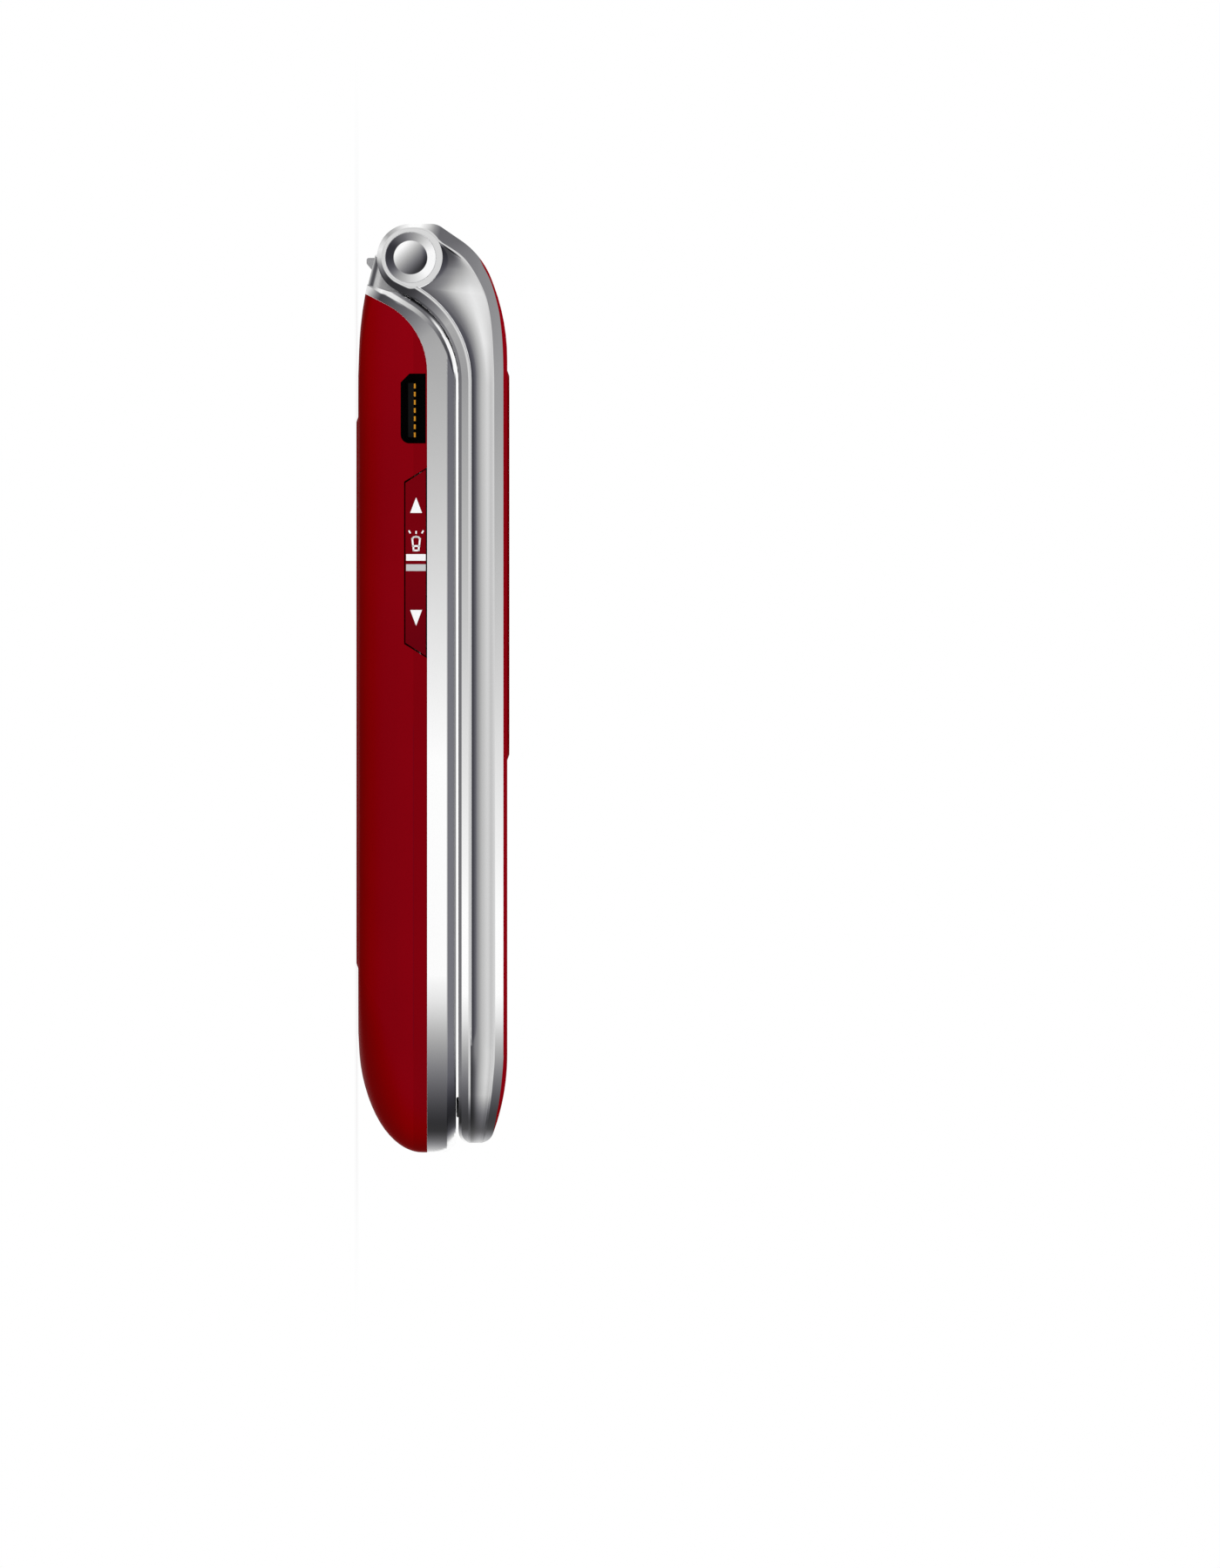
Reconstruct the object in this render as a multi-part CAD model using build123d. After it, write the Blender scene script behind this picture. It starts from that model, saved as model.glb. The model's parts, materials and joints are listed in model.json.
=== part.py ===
from build123d import *
import os
from math import asin, cos, degrees, radians, sin

# Flip phone, closed and lying on its back. Millimetres. +Z is up, out of the lid's outer face,
# +Y runs towards the hinge, +X is the user's right. The origin is at the bottom centre.

# Overall size in plan
LENGTH = 105.0
WIDTH = 54.0
FOOT = -LENGTH / 2
HEAD = LENGTH / 2
HALF = WIDTH / 2

# Heights, stacked from the table up through the closed phone
PANEL_PROUD = 0.2
SHELL_DEPTH = 7.8
FRAME_DEPTH = 3.27
LID_GAP = 0.29
LID_FRAME_DEPTH = 5.04
COVER_EDGE = 0.45
ISLAND_PROUD = 0.25
BACK = PANEL_PROUD
SPLIT = BACK + SHELL_DEPTH
RIM = SPLIT + FRAME_DEPTH
UNDER = RIM + LID_GAP
PARTING = UNDER + LID_FRAME_DEPTH
LID_TOP = PARTING + COVER_EDGE
TOP = LID_TOP + ISLAND_PROUD

# Clearances
SLIP = 0.15
RUNNING = 0.1
JOINT_GAP = 0.3
SEAT = 0.05

# Hinge
KNUCKLE_R = 3.8
HINGE_Z = 6.13
HINGE_Y = HEAD - KNUCKLE_R
BARREL_R = 5.05
BARREL_HALF = HALF - 8.2
ARM_START = BARREL_HALF + JOINT_GAP
HINGE_BORE_R = 2.75
CARTRIDGE_WALL = 0.45
CARTRIDGE_IN = 4.0
SHAFT_R = 1.15
SHAFT_HEAD = 3.0
SHAFT_REACH = 5.5
SPRING_WALL = 0.5
BUSH_WALL = 0.75
BUSH_IN = 12.0
BUSH_REACH = 3.2
CAP_R = 2.86
DOME_R = 1.92
CAP_DEPTH = 0.9
CAP_DISH = 0.4

# Sloping lines of the hinge end: degrees off the Y axis, and how far they pass from the hinge axis
LID_SLOPE = 58.0
TRIM_SLOPE = 62.5
TRIM_REACH = 5.97
LEDGE_SLOPE = 71.6
LEDGE_REACH = 4.43
LID_BEND_R = 10.8
SPLIT_BEND_R = 8.57
HUMP_WIDE = 0.4
HUMP_LOW = 3.98

# Dished rear housing
SHELL_SET_IN = 0.3
SHOULDER = 0.5
PAN_SIDE_CURL = 7.5
PAN_FOOT_CURL = 13.5
PAN_HEAD_CURL = 20.0
PAN_HEAD_OVER = 3.0
PAN_HEAD_CORNER = 4.0
PAN_STEPS = 6
FOOT_CORNER_R = 14.0
FOOT_CURL_CORNER = 4.0
WALL = 1.1

# Raised back panel, which is the battery cover, and the battery bay under it
PANEL_FOOT = FOOT + 20.83
PANEL_HEAD = HEAD - 21.7
PANEL_HALF = HALF - 8.8
PANEL_CORNER_R = 3.0
PANEL_CHAMFER = 0.6
COVER_PLATE = 1.0
BAY_LEDGE = 0.8
BATTERY_WIDE = 2 * (PANEL_HALF - 1.2)
BATTERY_THICK = 4.3
BAY_CLEAR = 0.2
BAY_WALL = 0.9
BAY_FLOOR = 0.6
BOARD_THICK = 0.6
BLADE_WIDE = 1.2
BLADE_LONG = 3.5
BLADE_THICK = 0.5
BLADE_RISE = 1.2
BATTERY_EDGE_R = 0.8

# Base frame and keypad
FRAME_SET_IN = 0.1
STEP_DEPTH = 2.28
RIM_CHAMFER = 0.5
DECK_HALF = HALF - 2.7
DECK_FOOT = FOOT + 4.5
DECK_HEAD = HEAD - 19.5
DECK_CORNER_R = 11.3
DECK_HEAD_CORNER_R = 3.0
DECK_SINK = 0.6
DECK_THICK = 0.9
DECK_LEDGE = 1.4
KEY_TOP_DROP = 0.15
KEY_FLANGE = 0.65
KEY_LIP = 0.3
KEY_TRAVEL = 0.3
KEY_GAP = 1.0
KEY_R = 2.5
KEY_EDGE_R = 0.35
NAV_Y = DECK_HEAD - 15.0
NAV_HALF = 9.2
NAV_R = 4.5
OK_HALF = 3.9
OK_R = 2.0
KEY_COLUMN = (DECK_HALF - 1.8) / 1.5
KEY_WIDE = KEY_COLUMN - KEY_GAP
KEY_FIRST_ROW = NAV_Y - NAV_HALF - 9.0
KEY_ROW = (KEY_FIRST_ROW - DECK_FOOT - 11.8) / 3
KEY_TALL = KEY_ROW - 1.2 * KEY_GAP
SIDE_KEY_WIDE = DECK_HALF - NAV_HALF - 3.7
SIDE_KEY_X = NAV_HALF + 1.4 + SIDE_KEY_WIDE / 2
SIDE_KEY_TALL = 7.6
SOFT_KEY_Y = NAV_Y + 5.4
CALL_KEY_Y = NAV_Y - 5.0
MAT_THICK = 0.85
DOME_THICK = 0.2
PLUNGER_R = 1.2

# Screws between the last two key rows, and the battery that lies clear of them
SCREW_FOOT_Y = KEY_FIRST_ROW - 2.5 * KEY_ROW
BATTERY_FOOT = SCREW_FOOT_Y + 2.1
BATTERY_LONG = PANEL_HEAD - 8.9 - BATTERY_FOOT

# Side rocker
ROCKER_HEAD = HEAD - 27.65
ROCKER_FOOT = ROCKER_HEAD - 21.25
ROCKER_BEVEL = 1.6
ROCKER_LOW = 5.55
ROCKER_PROUD = 0.0
ROCKER_THICK = 1.5
ROCKER_FALL = 0.25
ROCKER_PIVOT_R = 0.45
SWITCH_HALF = 7.6
SWITCH_ROOM = 1.15
SWITCH_GAP = 0.6
SWITCH_DROP = 0.8
SWITCH_STUD = 0.3
SWITCH_STUD_Y = 5.0

# Charging port, on the left
PORT_LONG = 7.9
PORT_HEAD = HEAD - 16.9
PORT_FOOT = PORT_HEAD - PORT_LONG
PORT_LOW = 5.0
PORT_HIGH = 7.84
PORT_CORNER = 1.0
PORT_DEPTH = 5.5
PORT_WALL = 0.7
TONGUE_LOW = 5.86
TONGUE_HIGH = 6.5
TONGUE_SHORT = 0.7
TONGUE_HEAD_SHORT = 1.05
CONTACTS = 7
CONTACT_FIRST = 1.4
CONTACT_LAST = 0.98
CONTACT_PITCH = (PORT_HEAD - PORT_FOOT - CONTACT_FIRST - CONTACT_LAST) / (CONTACTS - 1)
CONTACT_WIDE = 0.576 * CONTACT_PITCH
CONTACT_THICK = 0.2

# Headphone socket, on the right
JACK_Y = HEAD - 20.6
JACK_Z = 5.43
JACK_BORE_R = 1.8
JACK_BODY_R = 2.4
JACK_LENGTH = 14.0
JACK_MOUTH_R = 1.97
JACK_FACE_R = 3.4
JACK_BOSS_R = 4.1
JACK_BOSS_DEEP = 1.5
JACK_BOSS_DROP = 0.7
JACK_SKIN = 1.4
JACK_CLOSED_END = 0.8
JACK_STRIP_FROM = 6.3
JACK_STRIP_TO = 1.0
JACK_STRIP = 0.55

# Lid
LID_SET_BACK = 1.1
LID_FOOT = FOOT + LID_SET_BACK
TOE_LONG = 5.9
TOE_DROP = 1.95
TOE_BLEND_R = 26.0
LID_FOOT_R = 1.3
TOE_R = 1.7
BROW_BACK = 7.2
BROW_R = 24.0
CROWN_PAST = 0.25
CROWN_UP = 8.14
CROWN_R = 9.4
PEAK_UP = 2.95
PEAK_R = 2.0
COVE_EDGE = 1.45
COVE_DEPTH = 0.5
COVE_RING_R = 3.6
SEAM_HEAD = HINGE_Y - 6.1
SEAM_HEAD_R = 28.0
SEAM_FOOT = LID_FOOT + 6.9
SEAM_FOOT_R = 30.0
SEAM_HEAD_SLOPE = 0.5
SEAM_FOOT_SLOPE = 0.18
ISLAND_LONG = 44.25
ISLAND_HEAD = HINGE_Y - 12.6
ISLAND_FOOT = ISLAND_HEAD - ISLAND_LONG
ISLAND_HALF = HALF - 7.0
ISLAND_R = 5.0
ISLAND_CHAMFER = 0.7
LID_OPEN_HALF = HALF - 2.8
LID_OPEN_FOOT = LID_FOOT + 2.8
LID_OPEN_HEAD = HINGE_Y - 15.2
LID_OPEN_R = 11.0
LID_OPEN_HEAD_R = 3.0
LID_STEP = 0.8
INNER_PANEL_THICK = 1.0
LENS_HALF = LID_OPEN_HALF - 2.2
LENS_FOOT = LID_OPEN_FOOT + 5.6
LENS_HEAD = LID_OPEN_HEAD - 13.5
LENS_R = 3.0
LENS_SINK = 0.1
LENS_THICK = 0.6
LENS_RIM = 1.2
DISPLAY_THICK = 1.4
DISPLAY_BORDER = 0.6
EARPIECE_Y = LID_OPEN_HEAD - 6.5
EARPIECE_LONG = 12.0
EARPIECE_TALL = 3.2
EARPIECE_THICK = 1.2
LID_BOARD_THICK = 0.6
COVER_SKIN = 0.55
OUTER_LENS_HALF = ISLAND_HALF - 5.0
OUTER_LENS_FOOT = ISLAND_FOOT + 3.65
OUTER_LENS_HEAD = ISLAND_HEAD - 4.1
OUTER_LENS_R = 3.0
OUTER_LENS_THICK = 0.6
OUTER_LENS_SINK = 0.05
OUTER_DISPLAY_HALF = OUTER_LENS_HALF - 1.8
OUTER_DISPLAY_FOOT = OUTER_LENS_FOOT + 2.5
OUTER_DISPLAY_HEAD = OUTER_LENS_HEAD - 14.0
OUTER_DISPLAY_THICK = 1.4
DISPLAY_PLUG_HALF = 6.0
DISPLAY_PLUG_SHORT = 2.0
CAMERA_Y = OUTER_LENS_HEAD - 6.0
CAMERA_SIDE = 7.0
CAMERA_RING_R = 3.4
CAMERA_HOLE_R = 2.4
BUMPER_X = HALF - 6.0
BUMPER_Y = LID_FOOT + 3.9
BUMPER_R = 0.95
BUMPER_DEEP = 0.7

# Small inner parts
SCREW_HEAD_R = 1.2
SCREW_HEAD = 0.6
SCREW_SHANK_R = 0.65
BOSS_R = 1.2
SCREW_FOOT_X = KEY_COLUMN / 2
SCREW_HEAD_X = HALF - 17.7
SCREW_HEAD_Y = DECK_HEAD - 3.8
SPEAKER_Y = HEAD - 16.5
SPEAKER_LONG = HALF - 11.0
SPEAKER_TALL = 6.4
SPEAKER_THICK = 2.6
SOUND_SLOTS = 5
SOUND_SLOT = 0.8
SOUND_SLOT_PITCH = 1.9
MOTOR_R = 4.0
MOTOR_Y = DECK_FOOT + 10.0
MOTOR_X = HALF - 15.0
MOTOR_THICK = 2.7
ANTENNA_X = -4.0
ANTENNA_LONG = HALF - 5.0
ANTENNA_TALL = 3.0
ANTENNA_THICK = 1.6
MICROPHONE_X = 10.5
MICROPHONE_WIDE = 3.0
MICROPHONE_TALL = 2.5
MICROPHONE_THICK = 1.1
SIM_WIDE = 15.0
SIM_TALL = 17.0
CARD_WIDE = 14.0
CARD_TALL = 11.5
HOLDER_RIM = 1.0
HOLDER_BRIDGE = 4.0
HOLDER_APART = 2.0
LENS_NUB_HALF = 2.0
LENS_NUB_TIP = 1.13
LENS_NUB_SEAT = 1.5
RIBBON = 0.3
RIBBON_WIDE = 2.6

# Heights that follow from the stack
BOARD_LOW = BACK + PANEL_PROUD + COVER_PLATE + BATTERY_THICK + BAY_FLOOR + 0.2
BOARD_HIGH = BOARD_LOW + BOARD_THICK
DECK_TOP = RIM - DECK_SINK
DECK_LOW = DECK_TOP - DECK_THICK
FLANGE_TOP = DECK_LOW - SEAT
FLANGE_LOW = FLANGE_TOP - KEY_FLANGE
MAT_TOP = FLANGE_LOW - KEY_TRAVEL - SEAT
MAT_LOW = MAT_TOP - MAT_THICK
BAY_HALF = BATTERY_WIDE / 2 + BAY_CLEAR
BAY_FOOT = BATTERY_FOOT - BAY_CLEAR
BAY_HEAD = BATTERY_FOOT + BATTERY_LONG + BAY_CLEAR
BAY_TOP = BOARD_LOW - SLIP - BAY_FLOOR
RECESS_TOP = COVER_PLATE + SLIP + SEAT
BATTERY_LOW = RECESS_TOP + SLIP
SHELL_HALF = HALF - SHELL_SET_IN
ROCKER_X = -HALF + ROCKER_PROUD
SIDE_WALL_IN = SHELL_HALF - WALL
INNER_PANEL_LOW = UNDER + SEAT
INNER_PANEL_TOP = INNER_PANEL_LOW + INNER_PANEL_THICK
DISPLAY_LOW = INNER_PANEL_TOP + SEAT
LID_BOARD_LOW = DISPLAY_LOW + DISPLAY_THICK + SEAT
SKIN_LOW = PARTING - COVER_SKIN
FAR = 200.0


# ---------------------------------------------------------------- shared shapes

def block(x0, x1, y0, y1, z0, z1):
    """Box between two corners."""
    middle = Pos((x0 + x1) / 2, (y0 + y1) / 2, (z0 + z1) / 2)
    return middle * Box(x1 - x0, y1 - y0, z1 - z0)


def slab(half, foot, head, low, high, foot_r, head_r):
    """Flat plate, symmetrical in X, with its own corner radius at each end."""
    corners = [(-half, foot, foot_r), (half, foot, foot_r), (half, head, head_r), (-half, head, head_r)]
    return extrude(Plane.XY.offset(low) * rounded(corners), amount=high - low, dir=(0, 0, 1))


def plate(x, y, wide, tall, low, high, radius):
    """Flat plate round a centre, with equal corners."""
    face = Pos(x, y) * RectangleRounded(wide, tall, radius)
    return extrude(Plane.XY.offset(low) * face, amount=high - low, dir=(0, 0, 1))


def disc(x, y, radius, low, high):
    """Upright cylinder between two heights."""
    return Pos(x, y, (low + high) / 2) * Cylinder(radius, high - low)


def rounded(corners):
    """Flat face inside a ring of (across, up, corner radius)."""
    points = [(a, b) for a, b, _ in corners]
    radii = [radius for *_, radius in corners]
    return make_face(FilletPolyline(*points, radius=radii, close=True))


def side_solid(face, x0, x1):
    """Solid whose side view is a (y, z) face."""
    return extrude(Plane.YZ.offset(x0) * face, amount=x1 - x0, dir=(1, 0, 0))


def rod(radius, x0, x1, y=HINGE_Y, z=HINGE_Z):
    """Cylinder along X, on the hinge axis unless told otherwise."""
    return Pos((x0 + x1) / 2, y, z) * Rot(0, 90, 0) * Cylinder(radius, x1 - x0)


def both_sides(shape):
    """A shape and its mirror image on the other side of the phone."""
    return shape + mirror(shape, about=Plane.YZ)


def on_slope(slope, reach, height):
    """The y at a height of a line sloping off the Y axis, passing the hinge axis at a reach."""
    angle = radians(slope)
    return HINGE_Y - (reach + (height - HINGE_Z) * cos(angle)) / sin(angle)


def slope_meet(slope_a, reach_a, slope_b, reach_b):
    """The (y, z) where two such lines cross."""
    a, b = radians(slope_a), radians(slope_b)
    rise = (reach_b / sin(b) - reach_a / sin(a)) / (cos(a) / sin(a) - cos(b) / sin(b))
    height = HINGE_Z + rise
    return on_slope(slope_a, reach_a, height), height


# ---------------------------------------------------------------- outlines in the side view

def lid_corners():
    """Closed lid, seen from the side, without its round knuckle."""
    bend = on_slope(LID_SLOPE, KNUCKLE_R, UNDER)
    angle = radians(LID_SLOPE)
    touch = (HINGE_Y - KNUCKLE_R * sin(angle), HINGE_Z - KNUCKLE_R * cos(angle))
    return [
        (LID_FOOT, UNDER, LID_FOOT_R),
        (LID_FOOT, LID_TOP - TOE_DROP, TOE_R),
        (LID_FOOT + TOE_LONG, LID_TOP, TOE_BLEND_R),
        (HINGE_Y - BROW_BACK, LID_TOP, BROW_R),
        (HINGE_Y + CROWN_PAST, HINGE_Z + CROWN_UP, CROWN_R),
        (HEAD, HINGE_Z + PEAK_UP, PEAK_R),
        (HEAD, HINGE_Z, 0),
        (HINGE_Y, HINGE_Z, 0),
        (*touch, 0),
        (bend, UNDER, LID_BEND_R),
    ]


def lid_face():
    return rounded(lid_corners()) + Pos(HINGE_Y, HINGE_Z) * Circle(KNUCKLE_R)


def cover_face():
    """Everything above the seam between the lid's frame and its cover."""
    return rounded([
        (SEAM_FOOT - FAR, PARTING - FAR * SEAM_FOOT_SLOPE, 0),
        (SEAM_FOOT, PARTING, SEAM_FOOT_R),
        (SEAM_HEAD, PARTING, SEAM_HEAD_R),
        (SEAM_HEAD + FAR, PARTING - FAR * SEAM_HEAD_SLOPE, 0),
        (SEAM_HEAD + FAR, FAR, 0),
        (SEAM_FOOT - FAR, FAR, 0),
    ])


def below_split_face():
    """Everything under the line where the red housing meets the bright frame."""
    low = BACK - 3 * WALL
    return rounded([
        (FOOT - FAR, low, 0),
        (FOOT - FAR, SPLIT, 0),
        (on_slope(TRIM_SLOPE, TRIM_REACH, SPLIT), SPLIT, SPLIT_BEND_R),
        (on_slope(TRIM_SLOPE, TRIM_REACH, low), low, 0),
    ])


def frame_band_face():
    """Base frame from the side: a band over the housing that turns down behind the lid's arms."""
    low = BACK - WALL
    ledge = slope_meet(LID_SLOPE, KNUCKLE_R + LID_GAP, LEDGE_SLOPE, LEDGE_REACH)
    return rounded([
        (FOOT - FAR, SPLIT, 0),
        (on_slope(TRIM_SLOPE, TRIM_REACH, SPLIT), SPLIT, SPLIT_BEND_R),
        (on_slope(TRIM_SLOPE, TRIM_REACH, low), low, 0),
        (on_slope(LEDGE_SLOPE, LEDGE_REACH, low), low, 0),
        (*ledge, 0),
        (on_slope(LID_SLOPE, KNUCKLE_R + LID_GAP, RIM), RIM, LID_BEND_R - LID_GAP),
        (FOOT - FAR, RIM, 0),
    ])


def hump_face():
    """Web that carries the hinge barrel, with the straight wall at the phone's back."""
    low = BACK + WALL
    inside = (TRIM_REACH + KNUCKLE_R) / 2
    return rounded([
        (on_slope(LEDGE_SLOPE, LEDGE_REACH, low), low, 0),
        (HINGE_Y + HUMP_WIDE, HINGE_Z - HUMP_LOW, 0),
        (HINGE_Y, HINGE_Z, 0),
        (on_slope(LID_SLOPE, inside, HINGE_Z), HINGE_Z, 0),
        (on_slope(TRIM_SLOPE, TRIM_REACH - JOINT_GAP, low), low, 0),
    ])


def island_face(inset, low):
    corners = ISLAND_R - inset
    return Plane.XY.offset(low) * rounded([
        (-ISLAND_HALF + inset, ISLAND_FOOT + inset, corners),
        (ISLAND_HALF - inset, ISLAND_FOOT + inset, corners),
        (ISLAND_HALF - inset, ISLAND_HEAD - inset, corners),
        (-ISLAND_HALF + inset, ISLAND_HEAD - inset, corners),
    ])


# ---------------------------------------------------------------- base shells

def pan(inset, foot, half, top):
    """Dished form: plan outlines that draw in on a quarter ellipse from the shoulder to the back."""
    shoulder = SPLIT - SHOULDER
    sections = []
    for step in range(-1, PAN_STEPS + 1):
        turn = radians(90.0 * max(step, 0) / PAN_STEPS)
        curl = 1 - cos(turn)
        height = shoulder - (shoulder - BACK - inset) * sin(turn) if step >= 0 else top
        side = half - inset - PAN_SIDE_CURL * curl
        tail = foot + inset + PAN_FOOT_CURL * curl
        nose = HEAD + PAN_HEAD_OVER - inset - PAN_HEAD_CURL * curl
        foot_r = FOOT_CORNER_R - inset - FOOT_CURL_CORNER * curl
        nose_r = PAN_HEAD_CORNER - inset
        face = rounded([
            (-side, tail, foot_r), (side, tail, foot_r), (side, nose, nose_r), (-side, nose, nose_r)
        ])
        sections.append(Plane.XY.offset(height) * face)
    straight = loft(sections[:2], ruled=True)
    return straight + loft(sections[1:])


def battery_bay():
    """Walls, floor and cover ledge of the battery bay, before the bay is hollowed out."""
    out = BAY_HALF + BAY_WALL
    walls = block(-out, out, BAY_FOOT - BAY_WALL, BAY_HEAD + BAY_WALL, BACK, BAY_TOP + BAY_FLOOR)
    ledge = slab(
        PANEL_HALF + WALL, PANEL_FOOT - WALL, PANEL_HEAD + WALL, BACK, RECESS_TOP + BAY_LEDGE,
        PANEL_CORNER_R + WALL, PANEL_CORNER_R + WALL,
    )
    return walls + ledge


def rocker_face(grow):
    """Rocker from the side: wide at the frame, bevelled towards the back."""
    return rounded([
        (ROCKER_FOOT - grow, SPLIT, 0),
        (ROCKER_FOOT + ROCKER_BEVEL - grow, ROCKER_LOW - grow, 0),
        (ROCKER_HEAD - ROCKER_BEVEL + grow, ROCKER_LOW - grow, 0),
        (ROCKER_HEAD + grow, SPLIT, 0),
    ])


def port_face(grow):
    """Port opening from the side, with its two shaped corners towards the back."""
    return rounded([
        (PORT_FOOT - grow, PORT_LOW - grow, PORT_CORNER + grow),
        (PORT_HEAD - PORT_CORNER + grow / 2, PORT_LOW - grow, 0),
        (PORT_HEAD + grow, PORT_LOW + PORT_CORNER - grow / 2, 0),
        (PORT_HEAD + grow, PORT_HIGH + grow / 8, 0),
        (PORT_FOOT - grow, PORT_HIGH + grow / 8, 0),
    ])


def jack_boss():
    """Drafted boss round the headphone hole, its foot set towards the back."""
    x_foot = SHELL_HALF - WALL - JACK_BOSS_DEEP
    wide = Pos(JACK_Y, JACK_Z - JACK_BOSS_DROP) * Circle(JACK_BOSS_R + JACK_BOSS_DROP / 2)
    narrow = Pos(JACK_Y, JACK_Z) * Circle(JACK_FACE_R)
    return loft([Plane.YZ.offset(x_foot) * wide, Plane.YZ.offset(HALF) * narrow])


def screw_spots():
    """Plan positions of the housing screws, in the gaps of the keypad above them."""
    foot_pair = (SCREW_FOOT_X, SCREW_FOOT_Y)
    head_pair = (SCREW_HEAD_X, SCREW_HEAD_Y)
    return [(side * x, y) for x, y in (foot_pair, head_pair) for side in (-1, 1)]


def drill(shape, radius, low, high):
    """Holes at the four screw places."""
    for x, y in screw_spots():
        shape = shape - disc(x, y, radius, low, high)
    return shape


def contact_spots():
    return [-KEY_ROW / 2, 0, KEY_ROW / 2]


def rear_housing():
    below = side_solid(below_split_face(), -FAR, FAR)
    shell = pan(0, FOOT, SHELL_HALF, SPLIT + WALL) & below
    boss = jack_boss() & below
    hollow = pan(WALL, FOOT, SHELL_HALF, SPLIT + 2 * WALL)
    shell = shell + boss - (hollow - battery_bay() - boss)
    half, foot, head = PANEL_HALF + SLIP, PANEL_FOOT - SLIP, PANEL_HEAD + SLIP
    shell -= slab(half, foot, head, -FAR, RECESS_TOP, PANEL_CORNER_R, PANEL_CORNER_R)
    shell -= block(-BAY_HALF, BAY_HALF, BAY_FOOT, BAY_HEAD, -FAR, BAY_TOP)
    shell -= side_solid(rocker_face(SLIP), -FAR, -SIDE_WALL_IN + WALL * 2)
    shell -= side_solid(port_face(0), -FAR, -SIDE_WALL_IN + WALL)
    shell -= side_solid(port_face(PORT_WALL + RUNNING), -SIDE_WALL_IN, 0)
    shell -= rod(JACK_MOUTH_R, 0, FAR, JACK_Y, JACK_Z)
    shell -= rod(JACK_BODY_R + SEAT, 0, HALF - JACK_SKIN, JACK_Y, JACK_Z)
    shell -= sound_slots()
    shell = drill(shell, SCREW_SHANK_R + SEAT, -FAR, FAR)
    shell = drill(shell, SCREW_HEAD_R + SEAT, -FAR, RECESS_TOP + SCREW_HEAD)
    half = BLADE_WIDE / 2 + SLIP
    for x in contact_spots():
        y0, y1 = BAY_HEAD - 2 * SLIP, BAY_HEAD + BAY_WALL + RUNNING
        shell -= block(x - half, x + half, y0, y1, BATTERY_LOW + BLADE_RISE - SLIP, FAR)
    shell -= holder_cuts()
    return shell


def sound_slots():
    """Slots over the loudspeaker, side by side."""
    slots = Part()
    for index in range(SOUND_SLOTS):
        x = (index - (SOUND_SLOTS - 1) / 2) * SOUND_SLOT_PITCH
        tall = SPEAKER_TALL - 2 * SOUND_SLOT
        slots += plate(x, SPEAKER_Y, SOUND_SLOT, tall, -1, RECESS_TOP + BAY_LEDGE, SOUND_SLOT / 2.2)
    return slots


def battery_cover():
    raised = slab(
        PANEL_HALF, PANEL_FOOT, PANEL_HEAD, 0, RECESS_TOP - SEAT, PANEL_CORNER_R, PANEL_CORNER_R
    )
    edges = raised.edges().group_by(Axis.Z)[0]
    return chamfer(edges, PANEL_PROUD, PANEL_CHAMFER)


def battery():
    body = block(
        -BATTERY_WIDE / 2, BATTERY_WIDE / 2, BATTERY_FOOT, BATTERY_FOOT + BATTERY_LONG,
        BATTERY_LOW, BATTERY_LOW + BATTERY_THICK - SLIP,
    )
    return fillet(body.edges().filter_by(Axis.Y), BATTERY_EDGE_R)


def battery_contacts():
    """Three sprung blades that reach through the bay wall to the battery's end."""
    blades = Part()
    half = BLADE_WIDE / 2
    tip = BATTERY_FOOT + BATTERY_LONG + SEAT
    bend = BOARD_LOW - BLADE_THICK
    for x in contact_spots():
        blades += block(x - half, x + half, tip, tip + BLADE_LONG, bend, BOARD_LOW)
        blades += block(x - half, x + half, tip, tip + BLADE_THICK, BATTERY_LOW + BLADE_RISE, bend)
    return blades


# ---------------------------------------------------------------- base frame

def frame_form():
    """Solid outer form of the bright base frame before its side outline is cut."""
    foot = FOOT + FRAME_SET_IN
    step = SPLIT + STEP_DEPTH
    body = pan(0, foot, HALF, step)
    over = HEAD + PAN_HEAD_OVER

    def outline(inset):
        side = HALF - inset
        return rounded([
            (-side, foot + 2 * inset, FOOT_CORNER_R - inset),
            (side, foot + 2 * inset, FOOT_CORNER_R - inset),
            (side, over - inset, PAN_HEAD_CORNER - inset),
            (-side, over - inset, PAN_HEAD_CORNER - inset),
        ])

    rim = loft([Plane.XY.offset(step) * outline(0), Plane.XY.offset(RIM) * outline(RIM_CHAMFER)], ruled=True)
    return body + rim


def barrel():
    """Middle part of the hinge, flush with the closed lid over its upper half."""
    round_part = rod(KNUCKLE_R, -BARREL_HALF, BARREL_HALF)
    above = block(-FAR, FAR, -FAR, FAR, HINGE_Z, FAR)
    flush = rod(BARREL_R, -BARREL_HALF, BARREL_HALF) & side_solid(lid_face(), -FAR, FAR) & above
    return round_part + flush


def base_frame():
    frame = frame_form() & side_solid(frame_band_face(), -FAR, FAR)
    frame += side_solid(hump_face(), -BARREL_HALF, BARREL_HALF)
    frame += barrel()
    frame -= slab(DECK_HALF, DECK_FOOT, DECK_HEAD, DECK_LOW, FAR, DECK_CORNER_R, DECK_HEAD_CORNER_R)
    ledge = DECK_LEDGE
    frame -= slab(
        DECK_HALF - ledge, DECK_FOOT + ledge, DECK_HEAD - ledge, SPLIT - 1, DECK_LOW + 1,
        DECK_CORNER_R - ledge, DECK_HEAD_CORNER_R - ledge,
    )
    frame -= rod(HINGE_BORE_R, -BARREL_HALF - 1, -CARTRIDGE_IN)
    frame -= rod(HINGE_BORE_R, BUSH_IN / 2, BARREL_HALF + 1)
    frame -= torch_pocket()
    return frame


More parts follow.
